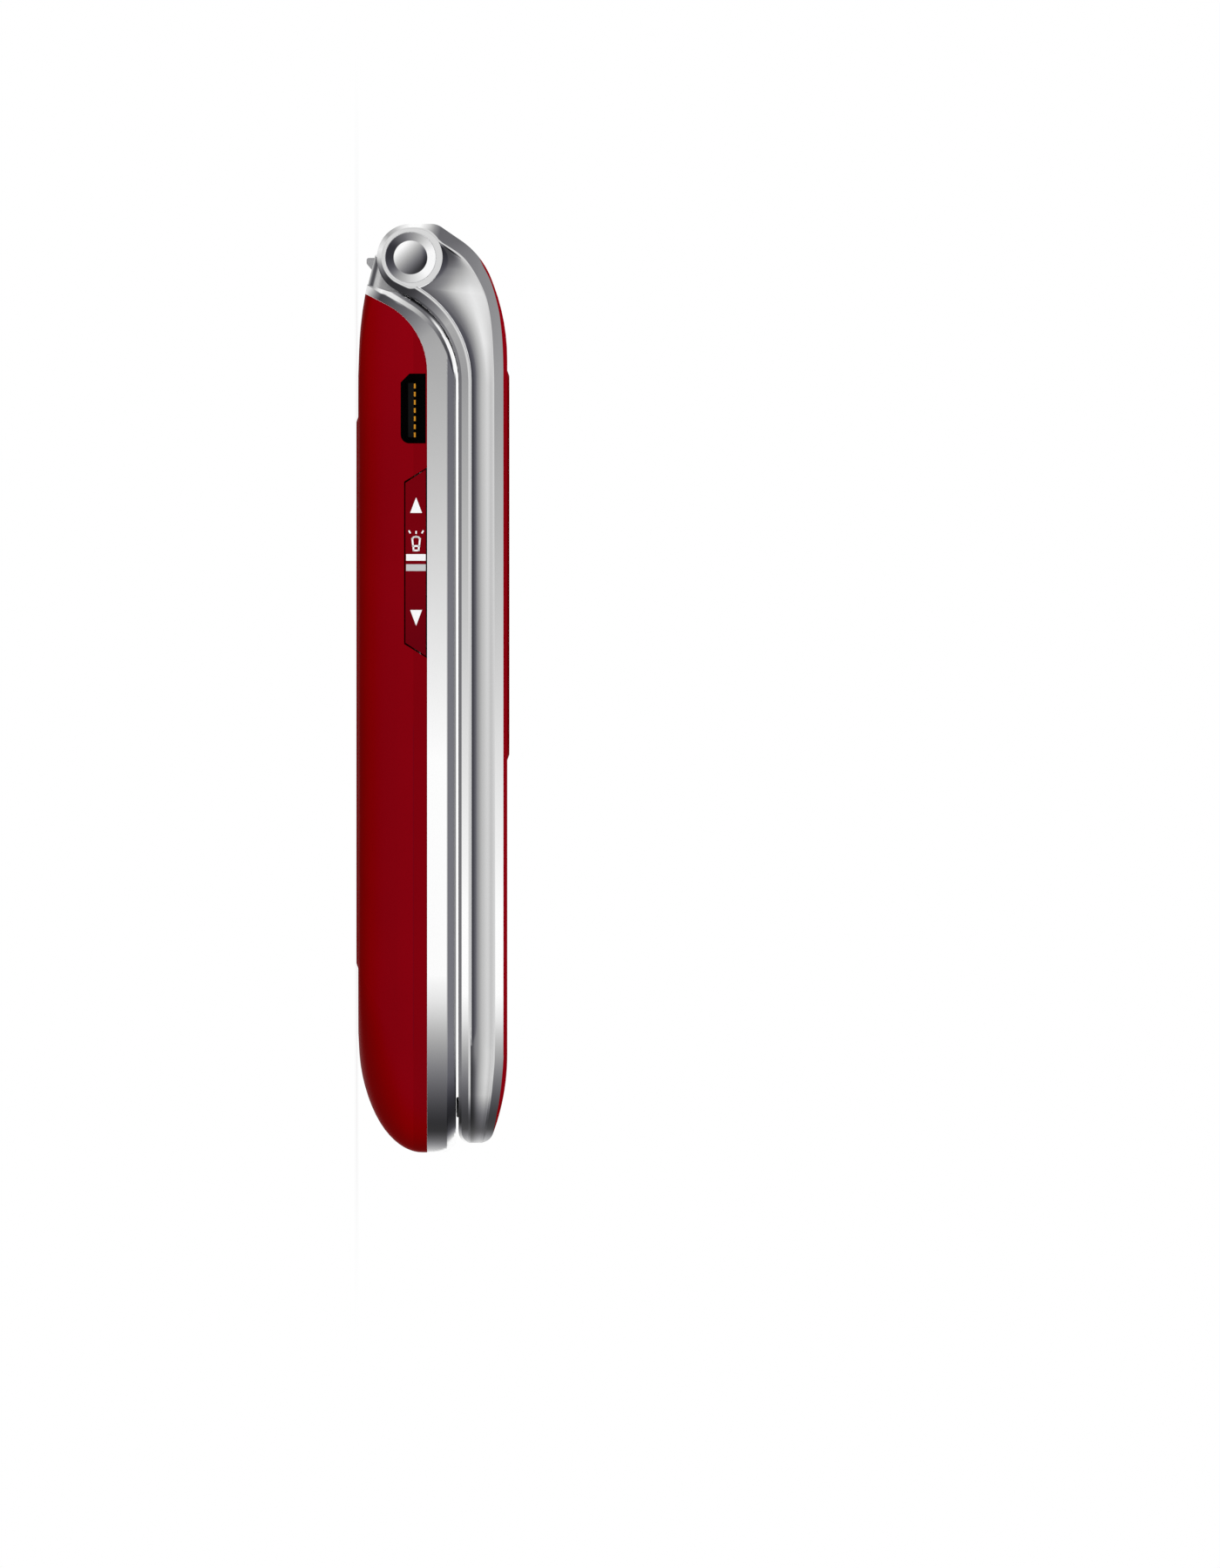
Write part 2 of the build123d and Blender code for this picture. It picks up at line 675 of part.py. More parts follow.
def torch_pocket():
    """Room in the middle of the barrel for the torch LED, open to the lens at the back."""
    half = LENS_NUB_HALF - 0.3
    low = HINGE_Z - HUMP_LOW
    led = block(-half, half, HINGE_Y - 1.5, HINGE_Y + 0.1, low - 1, low + 1.9)
    return led + side_solid(nub_face(RUNNING), -LENS_NUB_HALF - RUNNING, LENS_NUB_HALF + RUNNING)


def nub_face(grow):
    """Torch lens from the side: a small hooked nub seated in the back wall."""
    tip = LENS_NUB_TIP - grow
    seat = HINGE_Z - HUMP_LOW + LENS_NUB_SEAT / 2 + grow
    return rounded([
        (HINGE_Y - 0.45 - grow, tip, 0.25 + grow),
        (HINGE_Y + 0.2 + grow, tip, 0.25 + grow),
        (HINGE_Y + 0.2 + grow, seat, 0),
        (HINGE_Y - 1.3 - grow, seat, 0),
        (HINGE_Y - 1.3 - grow, HINGE_Z - HUMP_LOW - 0.3 - grow, 0),
    ])


def torch_lens():
    return side_solid(nub_face(0), -LENS_NUB_HALF, LENS_NUB_HALF)


def torch_led():
    half = LENS_NUB_HALF - 0.4
    low = HINGE_Z - HUMP_LOW + LENS_NUB_SEAT / 2 + RUNNING + SEAT
    return block(-half, half, HINGE_Y - 1.4, HINGE_Y, low, low + 0.8)


# ---------------------------------------------------------------- keypad

def key_places():
    """Name, x, y, width, height and corner radius of every key."""
    places = []
    names = ["1", "2", "3", "4", "5", "6", "7", "8", "9", "star", "0", "hash"]
    for index, name in enumerate(names):
        x = (index % 3 - 1) * KEY_COLUMN
        y = KEY_FIRST_ROW - (index // 3) * KEY_ROW
        places.append(("key_" + name, x, y, KEY_WIDE, KEY_TALL, KEY_R))
    for name, side, y in [
        ("soft_left", -1, SOFT_KEY_Y), ("soft_right", 1, SOFT_KEY_Y),
        ("call_key", -1, CALL_KEY_Y), ("end_key", 1, CALL_KEY_Y),
    ]:
        places.append((name, side * SIDE_KEY_X, y, SIDE_KEY_WIDE, SIDE_KEY_TALL, KEY_R))
    places.append(("nav_ring", 0, NAV_Y, 2 * NAV_HALF, 2 * NAV_HALF, NAV_R))
    return places


def key(x, y, wide, tall, radius):
    """Key cap with a soft top edge and a flange that holds it under the deck."""
    cap = plate(x, y, wide, tall, FLANGE_TOP - 0.01, RIM - KEY_TOP_DROP, radius)
    cap = fillet(cap.edges().group_by(Axis.Z)[-1], KEY_EDGE_R)
    flange = plate(x, y, wide + 2 * KEY_LIP, tall + 2 * KEY_LIP, FLANGE_LOW, FLANGE_TOP, radius + KEY_LIP)
    return cap + flange


def nav_ring():
    ring = key(0, NAV_Y, 2 * NAV_HALF, 2 * NAV_HALF, NAV_R)
    hole = OK_HALF + SLIP + 2 * KEY_LIP
    ring -= plate(0, NAV_Y, 2 * hole, 2 * hole, 0, FLANGE_TOP + KEY_LIP, OK_R + KEY_LIP)
    hole = OK_HALF + SLIP
    return ring - plate(0, NAV_Y, 2 * hole, 2 * hole, 0, FAR, OK_R)


def ok_key():
    cap = plate(0, NAV_Y, 2 * OK_HALF, 2 * OK_HALF, FLANGE_LOW, RIM - KEY_TOP_DROP, OK_R)
    cap = fillet(cap.edges().group_by(Axis.Z)[-1], KEY_EDGE_R)
    half = OK_HALF + KEY_LIP
    return cap + plate(0, NAV_Y, 2 * half, 2 * half, FLANGE_LOW, FLANGE_TOP - KEY_LIP / 2, OK_R + KEY_LIP)


def keypad_deck():
    deck = slab(
        DECK_HALF - SLIP, DECK_FOOT + SLIP, DECK_HEAD - SLIP, DECK_LOW, DECK_TOP,
        DECK_CORNER_R - SLIP, DECK_HEAD_CORNER_R - SLIP,
    )
    for _, x, y, wide, tall, radius in key_places():
        deck -= plate(x, y, wide + 2 * SLIP, tall + 2 * SLIP, 0, FAR, radius + SLIP)
    for x, y in screw_spots():
        deck += disc(x, y, BOSS_R, BOARD_HIGH + SEAT, DECK_LOW)
    return drill(deck, SCREW_SHANK_R + SEAT, 0, DECK_LOW + 0.2)


def inner_slab(low, high, extra):
    """Sheet inside the base that clears the frame's ledge, the port, the jack and the bosses."""
    inset = DECK_LEDGE + SLIP + extra
    sheet = slab(
        DECK_HALF - inset, DECK_FOOT + inset, DECK_HEAD - inset, low, high,
        DECK_CORNER_R - inset, DECK_HEAD_CORNER_R - DECK_LEDGE,
    )
    jack_end = HALF - JACK_SKIN - JACK_LENGTH - JACK_CLOSED_END - JOINT_GAP
    jack_side = JACK_BODY_R + SLIP
    return sheet - port_room() - block(jack_end, HALF, JACK_Y - jack_side, FAR, 0, JACK_Z + jack_side)


def port_room():
    deep = SIDE_WALL_IN - PORT_DEPTH - PORT_WALL
    return block(
        -FAR, -deep + SLIP, PORT_FOOT - PORT_WALL - SLIP, PORT_HEAD + PORT_WALL + SLIP,
        PORT_LOW - PORT_WALL - SLIP, SPLIT,
    )


def keypad_mat():
    """Rubber sheet with a plunger under each key."""
    sheet = inner_slab(MAT_LOW, MAT_TOP, 0)
    sheet = drill(sheet, BOSS_R + SLIP, 0, FAR)
    for _, x, y, *_ in key_places():
        spots = [(x, y)]
        if (x, y) == (0, NAV_Y):
            ring = (NAV_HALF + OK_HALF) / 2
            spots = [(0, y), (ring, y), (-ring, y), (0, y + ring), (0, y - ring)]
        for a, b in spots:
            sheet += disc(a, b, PLUNGER_R, BOARD_HIGH + DOME_THICK + SEAT, MAT_LOW)
    return sheet


def dome_sheet():
    return drill(inner_slab(BOARD_HIGH, BOARD_HIGH + DOME_THICK, 0), BOSS_R + SLIP, 0, FAR)


def main_pcb():
    board = inner_slab(BOARD_LOW, BOARD_HIGH, 0)
    board -= switch_room()
    return drill(board, SCREW_SHANK_R + SLIP, 0, FAR)


# ---------------------------------------------------------------- parts on the main board

def switch_room():
    middle = (ROCKER_HEAD + ROCKER_FOOT) / 2
    half = SWITCH_HALF + JOINT_GAP
    back = -DECK_HALF + DECK_LEDGE + SWITCH_ROOM
    return block(-FAR, back, middle - half, middle + half, BOARD_LOW - 1, BOARD_HIGH + DOME_THICK)


def side_switch():
    """Switch strip behind the rocker, with one button towards each end."""
    middle = (ROCKER_HEAD + ROCKER_FOOT) / 2
    back = -DECK_HALF + DECK_LEDGE + SWITCH_ROOM - SLIP
    face = ROCKER_X + ROCKER_THICK + SWITCH_GAP
    low = BOARD_LOW - SWITCH_DROP
    strip = block(face + SWITCH_STUD, back, middle - SWITCH_HALF, middle + SWITCH_HALF, low, BOARD_HIGH)
    for side in (-1, 1):
        y = middle + side * SWITCH_STUD_Y
        strip += block(face, face + SWITCH_STUD, y - 1, y + 1, low + SLIP, BOARD_HIGH - SLIP)
    return strip


def volume_rocker():
    """Rocker cap: two faces that fall away from a ridge, and a round pivot rib behind it."""
    middle = (ROCKER_HEAD + ROCKER_FOOT) / 2
    inner = ROCKER_X + ROCKER_THICK
    plan = rounded([
        (ROCKER_X, middle, 0),
        (ROCKER_X + ROCKER_FALL, ROCKER_HEAD, 0),
        (inner, ROCKER_HEAD, 0),
        (inner, ROCKER_FOOT, 0),
        (ROCKER_X + ROCKER_FALL, ROCKER_FOOT, 0),
    ])
    cap = extrude(Plane.XY.offset(ROCKER_LOW - 1) * plan, amount=FRAME_DEPTH + 2, dir=(0, 0, 1))
    below = block(-FAR, FAR, -FAR, FAR, 0, SPLIT - SLIP)
    pivot = disc(inner, middle, ROCKER_PIVOT_R, ROCKER_LOW + JOINT_GAP, SPLIT - JOINT_GAP)
    return (cap & side_solid(rocker_face(0), -FAR, FAR) & below) + pivot


def port_block_x():
    """Where the port's mouth and back end are."""
    mouth = -SIDE_WALL_IN + RUNNING
    return mouth, mouth + PORT_DEPTH


def io_port():
    mouth, back = port_block_x()
    body = side_solid(port_face(PORT_WALL), mouth, back + PORT_WALL)
    body -= side_solid(port_face(0), mouth - 1, back)
    foot, head = PORT_FOOT + TONGUE_SHORT, PORT_HEAD - TONGUE_HEAD_SHORT
    tongue = block(mouth + TONGUE_SHORT - SLIP, back, foot, head, TONGUE_LOW, TONGUE_HIGH)
    return body + tongue


def io_contacts():
    """Row of gold contacts on the tongue."""
    mouth, back = port_block_x()
    row = Part()
    half = CONTACT_WIDE / 2
    for index in range(CONTACTS):
        y = PORT_HEAD - CONTACT_FIRST - index * CONTACT_PITCH
        row += block(mouth + TONGUE_SHORT, back, y - half, y + half, TONGUE_HIGH, TONGUE_HIGH + CONTACT_THICK)
    return row


def headphone_jack():
    mouth = HALF - JACK_SKIN - SEAT
    body = rod(JACK_BODY_R, mouth - JACK_LENGTH - JACK_CLOSED_END, mouth, JACK_Y, JACK_Z)
    body -= rod(JACK_BORE_R, mouth - JACK_LENGTH, mouth + 1, JACK_Y, JACK_Z)
    for side in (-1, 1):
        body -= jack_slot(side, 0)
    return body


def jack_slot(side, shrink):
    """Slot in the jack's wall above or below, for one contact strip."""
    mouth = HALF - JACK_SKIN - SEAT
    low, high = sorted((JACK_Z + side * (JACK_BORE_R - JOINT_GAP), JACK_Z + side * (JACK_BODY_R + WALL)))
    x0 = mouth - JACK_STRIP_FROM + shrink
    half = JACK_STRIP - shrink
    return block(x0, mouth - JACK_STRIP_TO - shrink, JACK_Y - half, JACK_Y + half, low, high)


def jack_contacts():
    """Two sprung strips that lie in the jack's wall."""
    wall = rod(JACK_BODY_R - SEAT, 0, HALF, JACK_Y, JACK_Z)
    wall -= rod(JACK_BORE_R, 0, HALF, JACK_Y, JACK_Z)
    return (wall & jack_slot(1, SEAT)) + (wall & jack_slot(-1, SEAT))


def loudspeaker():
    low = RECESS_TOP + BAY_LEDGE / 2
    return plate(0, SPEAKER_Y, SPEAKER_LONG, SPEAKER_TALL, low, low + SPEAKER_THICK, SPEAKER_TALL / 2.2)


def vibration_motor():
    return disc(MOTOR_X, MOTOR_Y, MOTOR_R, BOARD_LOW - MOTOR_THICK, BOARD_LOW)


def antenna():
    y = DECK_FOOT + DECK_LEDGE + KEY_GAP + ANTENNA_TALL / 2
    low = BOARD_LOW - ANTENNA_THICK
    return plate(ANTENNA_X, y, ANTENNA_LONG, ANTENNA_TALL, low, BOARD_LOW, ANTENNA_TALL / 5)


def microphone():
    y = DECK_FOOT + DECK_LEDGE + KEY_LIP + MICROPHONE_TALL / 2 + 0.4
    low = BOARD_LOW - MICROPHONE_THICK
    return plate(MICROPHONE_X, y, MICROPHONE_WIDE, MICROPHONE_TALL, low, BOARD_LOW, KEY_LIP)


def holder_places():
    """Low corner and size in plan of the SIM and memory card holders."""
    low = BAY_FOOT + (BAY_HEAD - BAY_FOOT - SIM_TALL - CARD_TALL - HOLDER_APART) / 2
    over = low + SIM_TALL + HOLDER_APART
    return (-SIM_WIDE / 2, low, SIM_WIDE, SIM_TALL), (-CARD_WIDE / 2, over, CARD_WIDE, CARD_TALL)


def holder_cuts():
    """Openings in the bay floor over both card holders."""
    cuts = Part()
    for x, y, wide, tall in holder_places():
        x0, y0 = x - SLIP, y - SLIP
        x1, y1 = x + wide + SLIP, y + tall + SLIP
        cuts += block(x0, x1, y0, y1, BAY_TOP - 1, BAY_TOP + BAY_FLOOR + 1)
    return cuts


def card_holder(place):
    """Folded metal frame with an open window for the card's contacts."""
    x, y, wide, tall = place
    low = BAY_TOP + SLIP
    tray = block(x, x + wide, y, y + tall, low, BOARD_LOW)
    x0, x1, y1 = x + HOLDER_RIM, x + wide - HOLDER_RIM, y + tall - HOLDER_BRIDGE
    return tray - block(x0, x1, y - 1, y1, low + (BOARD_LOW - low) / 4, BOARD_LOW - RUNNING)


def housing_screws():
    screws = Part()
    for x, y in screw_spots():
        screws += disc(x, y, SCREW_HEAD_R, RECESS_TOP + SEAT, RECESS_TOP + SCREW_HEAD)
        screws += disc(x, y, SCREW_SHANK_R, RECESS_TOP + SCREW_HEAD, DECK_LOW)
    return screws


# ---------------------------------------------------------------- lid shells

def lid_block():
    """Whole closed lid, frame and cover together, rounded in plan at its foot."""
    plan = slab(HALF, LID_FOOT, HEAD + FAR, -FAR, FAR, FOOT_CORNER_R, 0)
    return side_solid(lid_face(), -HALF, HALF) & plan


def barrel_room():
    return rod(BARREL_R + JOINT_GAP, -ARM_START, ARM_START)


def cove_cut():
    """Hollow down each side of the lid, from the knuckle's ring to the foot corner."""
    face = offset(lid_face(), amount=-COVE_EDGE) - Pos(HINGE_Y, HINGE_Z) * Circle(COVE_RING_R)
    return both_sides(side_solid(face, HALF - COVE_DEPTH, HALF + 1))


def lid_opening(low, high, inset):
    return slab(
        LID_OPEN_HALF - inset, LID_OPEN_FOOT + inset, LID_OPEN_HEAD - inset, low, high,
        LID_OPEN_R - inset, LID_OPEN_HEAD_R - inset,
    )


def ribbon_face(thick):
    """Flex ribbon from the lid's board down the right arm to the hinge."""
    start = LID_OPEN_HEAD - 4
    height = LID_BOARD_LOW + LID_BOARD_THICK + RIBBON
    path = FilletPolyline(
        (start, height), (HINGE_Y - 6, height), (HINGE_Y, HINGE_Z + 1.6), radius=3.0
    )
    return trace(path, thick)


def lid_frame():
    frame = lid_block() - side_solid(cover_face(), -FAR, FAR) - barrel_room() - cove_cut()
    frame -= lid_opening(0, INNER_PANEL_TOP, 0)
    frame -= lid_opening(0, FAR, LID_STEP)
    for side in (-1, 1):
        outer = side * (HALF - CAP_DEPTH - RUNNING)
        frame -= rod(CAP_R + SEAT, *sorted((outer, side * (HALF + 1))))
    socket = SHAFT_HEAD / 2 + SEAT
    frame -= block(
        -ARM_START - SHAFT_REACH, -ARM_START + 1, HINGE_Y - socket, HINGE_Y + socket,
        HINGE_Z - socket, HINGE_Z + socket,
    )
    bush = HINGE_BORE_R - RUNNING
    frame -= rod(bush + SEAT, ARM_START - 1, HALF - CAP_DEPTH - 0.5)
    x = ribbon_x()
    frame -= side_solid(ribbon_face(RIBBON + 2 * JOINT_GAP), x - SLIP, x + RIBBON_WIDE + SLIP)
    for side in (-1, 1):
        frame -= disc(side * BUMPER_X, BUMPER_Y, BUMPER_R + SEAT, 0, UNDER + BUMPER_DEEP + SEAT)
    return frame


def lid_cover():
    """Thin painted cover with its raised island, and a skin that drops into the frame."""
    cover = lid_block() & side_solid(cover_face(), -FAR, FAR)
    cover += loft([island_face(0, LID_TOP), island_face(ISLAND_CHAMFER, TOP)], ruled=True)
    cover += lid_opening(SKIN_LOW, PARTING, LID_STEP + SLIP) & lid_block()
    cover -= outer_lens_slab(SLIP, PARTING - SLIP, FAR)
    cover -= slab(
        OUTER_DISPLAY_HALF + SLIP, OUTER_DISPLAY_FOOT - SLIP, OUTER_DISPLAY_HEAD + SLIP, 0, FAR, WALL, WALL
    )
    side = CAMERA_SIDE + 2 * SLIP
    return cover - plate(0, CAMERA_Y, side, side, 0, FAR, 0.5)


def outer_lens_slab(grow, low, high):
    return slab(
        OUTER_LENS_HALF + grow, OUTER_LENS_FOOT - grow, OUTER_LENS_HEAD + grow, low, high,
        OUTER_LENS_R + grow, OUTER_LENS_R + grow,
    )


def outer_lens():
    high = TOP - OUTER_LENS_SINK
    lens = outer_lens_slab(0, high - OUTER_LENS_THICK, high)
    return lens - disc(0, CAMERA_Y, CAMERA_RING_R + SEAT, 0, FAR)


def camera_ring():
    low = TOP - OUTER_LENS_THICK - OUTER_LENS_SINK
    return disc(0, CAMERA_Y, CAMERA_RING_R, low, TOP) - disc(0, CAMERA_Y, CAMERA_HOLE_R, 0, FAR)


def camera_module():
    base = lid_board_top()
    body = plate(0, CAMERA_Y, CAMERA_SIDE, CAMERA_SIDE, base, SKIN_LOW + COVER_SKIN / 2, 0.4)
    return body + disc(0, CAMERA_Y, CAMERA_HOLE_R - SLIP, base, TOP - OUTER_LENS_THICK)


def outer_display():
    base = lid_board_top()
    high = TOP - OUTER_LENS_SINK - OUTER_LENS_THICK - SEAT
    low = high - OUTER_DISPLAY_THICK
    screen = slab(OUTER_DISPLAY_HALF, OUTER_DISPLAY_FOOT, OUTER_DISPLAY_HEAD, low, high, 0.5, 0.5)
    foot, head = OUTER_DISPLAY_FOOT + DISPLAY_PLUG_SHORT, OUTER_DISPLAY_HEAD - DISPLAY_PLUG_SHORT
    return screen + block(-DISPLAY_PLUG_HALF, DISPLAY_PLUG_HALF, foot, head, base, low)


def lid_board_top():
    return LID_BOARD_LOW + LID_BOARD_THICK


def lid_pcb():
    inset = LID_STEP + SLIP
    return lid_opening(LID_BOARD_LOW, lid_board_top(), inset)


def lid_inner_panel():
    """Inner face of the lid: a bezel with a pocket for the lens and a slot for the earpiece."""
    panel = lid_opening(INNER_PANEL_LOW, INNER_PANEL_TOP - SEAT, SLIP)
    pocket = LENS_SINK + LENS_THICK + SEAT
    panel -= main_window(SLIP, 0, INNER_PANEL_LOW + pocket)
    panel -= main_window(-LENS_RIM, 0, FAR)
    slot = plate(0, EARPIECE_Y, EARPIECE_LONG - 2, EARPIECE_TALL / 3, 0, FAR, EARPIECE_TALL / 7)
    return panel - slot


def main_window(grow, low, high):
    return slab(
        LENS_HALF + grow, LENS_FOOT - grow, LENS_HEAD + grow, low, high, LENS_R + grow, LENS_R + grow
    )


def main_lens():
    low = INNER_PANEL_LOW + LENS_SINK
    return main_window(0, low, low + LENS_THICK)


def main_display():
    inset = DISPLAY_BORDER
    high = DISPLAY_LOW + DISPLAY_THICK
    return slab(LENS_HALF - inset, LENS_FOOT + inset, LENS_HEAD - inset, DISPLAY_LOW, high, inset, inset)


def earpiece():
    low = INNER_PANEL_TOP
    return plate(0, EARPIECE_Y, EARPIECE_LONG, EARPIECE_TALL, low, low + EARPIECE_THICK, EARPIECE_TALL / 2.2)


def lid_bumpers():
    low = RIM + SEAT
    body = disc(BUMPER_X, BUMPER_Y, BUMPER_R, low, UNDER + BUMPER_DEEP)
    return both_sides(fillet(body.edges().group_by(Axis.Z)[0], LID_GAP / 2))


# ---------------------------------------------------------------- hinge parts

def hinge_caps():
    """Dished ring round a polished dome, one let into each arm of the lid."""
    back = HALF - CAP_DEPTH
    ball = (DOME_R ** 2 + CAP_DISH ** 2) / (2 * CAP_DISH)
    sweep = degrees(asin(DOME_R / ball))
    dome = CenterArc((0, HALF - ball), ball, 90 - sweep, sweep)
    rest = Polyline((0, HALF), (0, back), (CAP_R, back), (CAP_R, HALF), dome @ 0)
    turned = revolve(make_face([dome, rest]), axis=Axis.Y)
    return both_sides(Pos(0, HINGE_Y, HINGE_Z) * Rot(0, 0, -90) * turned)


def hinge_cartridge():
    """Steel can fixed in the barrel, closed at both ends round the shaft."""
    outer = HINGE_BORE_R - SEAT
    x0, x1 = -BARREL_HALF + SEAT, -CARTRIDGE_IN - SEAT
    can = rod(outer, x0, x1) - rod(outer - CARTRIDGE_WALL, x0 + 1, x1 - 1)
    return can - rod(SHAFT_R + RUNNING, x0 - 1, x1 - 0.5)


def hinge_spring():
    """Coil spring round the shaft, shown as its closed outer form."""
    outer = HINGE_BORE_R - SEAT - CARTRIDGE_WALL - RUNNING
    x0, x1 = -BARREL_HALF + SEAT + 1 + RUNNING, -CARTRIDGE_IN - SEAT - 1 - RUNNING
    return rod(outer, x0, x1) - rod(outer - SPRING_WALL, x0 - 1, x1 + 1)


def hinge_shaft():
    """Shaft that the lid turns, with a square head held in the left arm."""
    half = SHAFT_HEAD / 2
    x_head = -ARM_START - SHAFT_REACH + SLIP
    head = block(x_head, -ARM_START - SLIP, HINGE_Y - half, HINGE_Y + half, HINGE_Z - half, HINGE_Z + half)
    return head + rod(SHAFT_R, -ARM_START - 1, -CARTRIDGE_IN - SEAT - 0.6)


def hinge_bush():
    """Hollow steel pin of the right side, fixed in the arm and turning in the barrel."""
    outer = HINGE_BORE_R - RUNNING
    return rod(outer, BUSH_IN, ARM_START + BUSH_REACH) - rod(outer - BUSH_WALL, 0, FAR)


def ribbon_x():
    return ARM_START + BUSH_REACH + JOINT_GAP


def flex_cable():
    """Ribbon down the right arm, then rolled up inside the hollow bush."""
    x = ribbon_x()
    ribbon = side_solid(ribbon_face(RIBBON), x, x + RIBBON_WIDE)
    outer = HINGE_BORE_R - RUNNING - BUSH_WALL - JOINT_GAP
    roll = rod(outer, BUSH_IN / 2 + 1, x + RIBBON_WIDE) - rod(outer - RIBBON, 0, FAR)
    return ribbon + roll


# ---------------------------------------------------------------- writing

def all_parts():
    sim, card = holder_places()
    parts = {
        "rear_housing": rear_housing(),
        "battery_cover": battery_cover(),
        "battery": battery(),
        "battery_contacts": battery_contacts(),
        "base_frame": base_frame(),
        "keypad_deck": keypad_deck(),
        "keypad_mat": keypad_mat(),
        "dome_sheet": dome_sheet(),
        "main_pcb": main_pcb(),
        "side_switch": side_switch(),
        "volume_rocker": volume_rocker(),
        "io_port": io_port(),
        "io_contacts": io_contacts(),
        "headphone_jack": headphone_jack(),
        "jack_contacts": jack_contacts(),
        "loudspeaker": loudspeaker(),
        "vibration_motor": vibration_motor(),
        "antenna": antenna(),
        "microphone": microphone(),
        "sim_holder": card_holder(sim),
        "memory_card_holder": card_holder(card),
        "housing_screws": housing_screws(),
        "torch_lens": torch_lens(),
        "torch_led": torch_led(),
        "hinge_cartridge": hinge_cartridge(),
        "hinge_spring": hinge_spring(),
        "hinge_shaft": hinge_shaft(),
        "hinge_bush": hinge_bush(),
        "hinge_caps": hinge_caps(),
        "flex_cable": flex_cable(),
        "lid_frame": lid_frame(),
        "lid_cover": lid_cover(),
        "lid_inner_panel": lid_inner_panel(),
        "main_lens": main_lens(),
        "main_display": main_display(),
        "earpiece": earpiece(),
        "lid_pcb": lid_pcb(),
        "outer_lens": outer_lens(),
        "outer_display": outer_display(),
        "camera_module": camera_module(),
        "camera_ring": camera_ring(),
        "lid_bumpers": lid_bumpers(),
        "nav_ring": nav_ring(),
        "ok_key": ok_key(),
    }
    for name, *place in key_places():
        if name not in parts:
            parts[name] = key(*place)
    return parts


os.makedirs("parts", exist_ok=True)
for part_name, shape in all_parts().items():
    export_step(shape, f"parts/{part_name}.step")
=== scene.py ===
"""Flip phone: finishes, fine shapes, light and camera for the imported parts."""

import json
import math
import random

import bmesh
import bpy
from mathutils import Matrix, Vector
from mathutils.bvhtree import BVHTree

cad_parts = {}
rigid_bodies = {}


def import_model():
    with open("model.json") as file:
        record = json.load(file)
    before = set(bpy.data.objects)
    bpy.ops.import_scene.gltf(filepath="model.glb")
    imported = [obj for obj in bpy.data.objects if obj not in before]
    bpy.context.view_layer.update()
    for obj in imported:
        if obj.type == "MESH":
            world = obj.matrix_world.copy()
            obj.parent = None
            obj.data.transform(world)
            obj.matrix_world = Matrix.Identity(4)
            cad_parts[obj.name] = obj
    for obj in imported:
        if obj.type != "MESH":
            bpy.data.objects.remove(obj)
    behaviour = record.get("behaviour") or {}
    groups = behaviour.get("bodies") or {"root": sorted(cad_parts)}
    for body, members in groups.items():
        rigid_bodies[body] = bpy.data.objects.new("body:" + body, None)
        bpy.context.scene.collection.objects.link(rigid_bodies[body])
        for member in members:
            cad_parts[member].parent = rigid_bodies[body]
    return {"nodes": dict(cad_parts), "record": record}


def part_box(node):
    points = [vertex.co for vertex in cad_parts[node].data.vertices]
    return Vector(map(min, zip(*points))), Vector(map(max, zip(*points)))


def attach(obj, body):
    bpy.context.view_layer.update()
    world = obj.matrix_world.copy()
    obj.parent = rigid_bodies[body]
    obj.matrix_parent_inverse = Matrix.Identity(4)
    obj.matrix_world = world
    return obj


bl_info = {
    "name": "Flip phone dressing",
    "version": (1, 0, 0),
    "blender": (4, 5, 0),
    "location": "View3D > Sidebar > Flip Phone",
    "description": "Finishes, fine shapes, light and camera for a clamshell phone",
    "category": "Object",
}

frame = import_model()
bpy.context.view_layer.update()
NODES = frame["nodes"]
MM = 0.001

# Side view of the closed phone in millimetres: y towards the hinge, z out of the lid
HALF = 27.0
SPLIT, RIM = 8.0, 11.27
UNDER, PARTING, LID_TOP = 11.56, 16.6, 17.05
HINGE = (48.7, 6.13)

WHITE = (1.0, 1.0, 1.0, 1.0)


# ---------------------------------------------------------------- shader maths

class Shade:
    """A node socket that takes part in arithmetic. Each operation adds its Math node."""

    def __init__(self, tree, socket=None):
        self.tree = tree
        self.socket = socket

    def node(self, kind, settings=None, inputs=None, output=0):
        """Adds any node: its settings first, then the value or link of each input. Gives one output."""
        made = self.tree.nodes.new(kind)
        for name, value in (settings or {}).items():
            setattr(made, name, value)
        for key, value in (inputs or {}).items():
            if isinstance(value, Shade):
                self.tree.links.new(value.socket, made.inputs[key])
            else:
                made.inputs[key].default_value = value
        return Shade(self.tree, made.outputs[output])

    def maths(self, operation, *values):
        return self.node("ShaderNodeMath", {"operation": operation}, dict(enumerate(values)))

    def __add__(self, other):
        return self.maths("ADD", self, other)

    def __sub__(self, other):
        return self.maths("SUBTRACT", self, other)

    def __rsub__(self, other):
        return self.maths("SUBTRACT", other, self)

    def __mul__(self, other):
        return self.maths("MULTIPLY", self, other)

    def __lt__(self, other):
        return self.maths("LESS_THAN", self, other)

    __radd__ = __add__
    __rmul__ = __mul__

    def ease(self, low, high):
        """0 below one value, 1 above the other, and a smooth rise between them."""
        settings = {"interpolation_type": "SMOOTHSTEP"}
        return self.node("ShaderNodeMapRange", settings, {0: self, 1: low, 2: high, 3: 0.0, 4: 1.0})

    def between(self, dark, light):
        """Colour between two others, with this value as the share of the second."""
        return self.node("ShaderNodeMix", {"data_type": "RGBA"}, {0: self, 6: dark, 7: light}, output=2)

    def feeds(self, socket):
        self.tree.links.new(self.socket, socket)


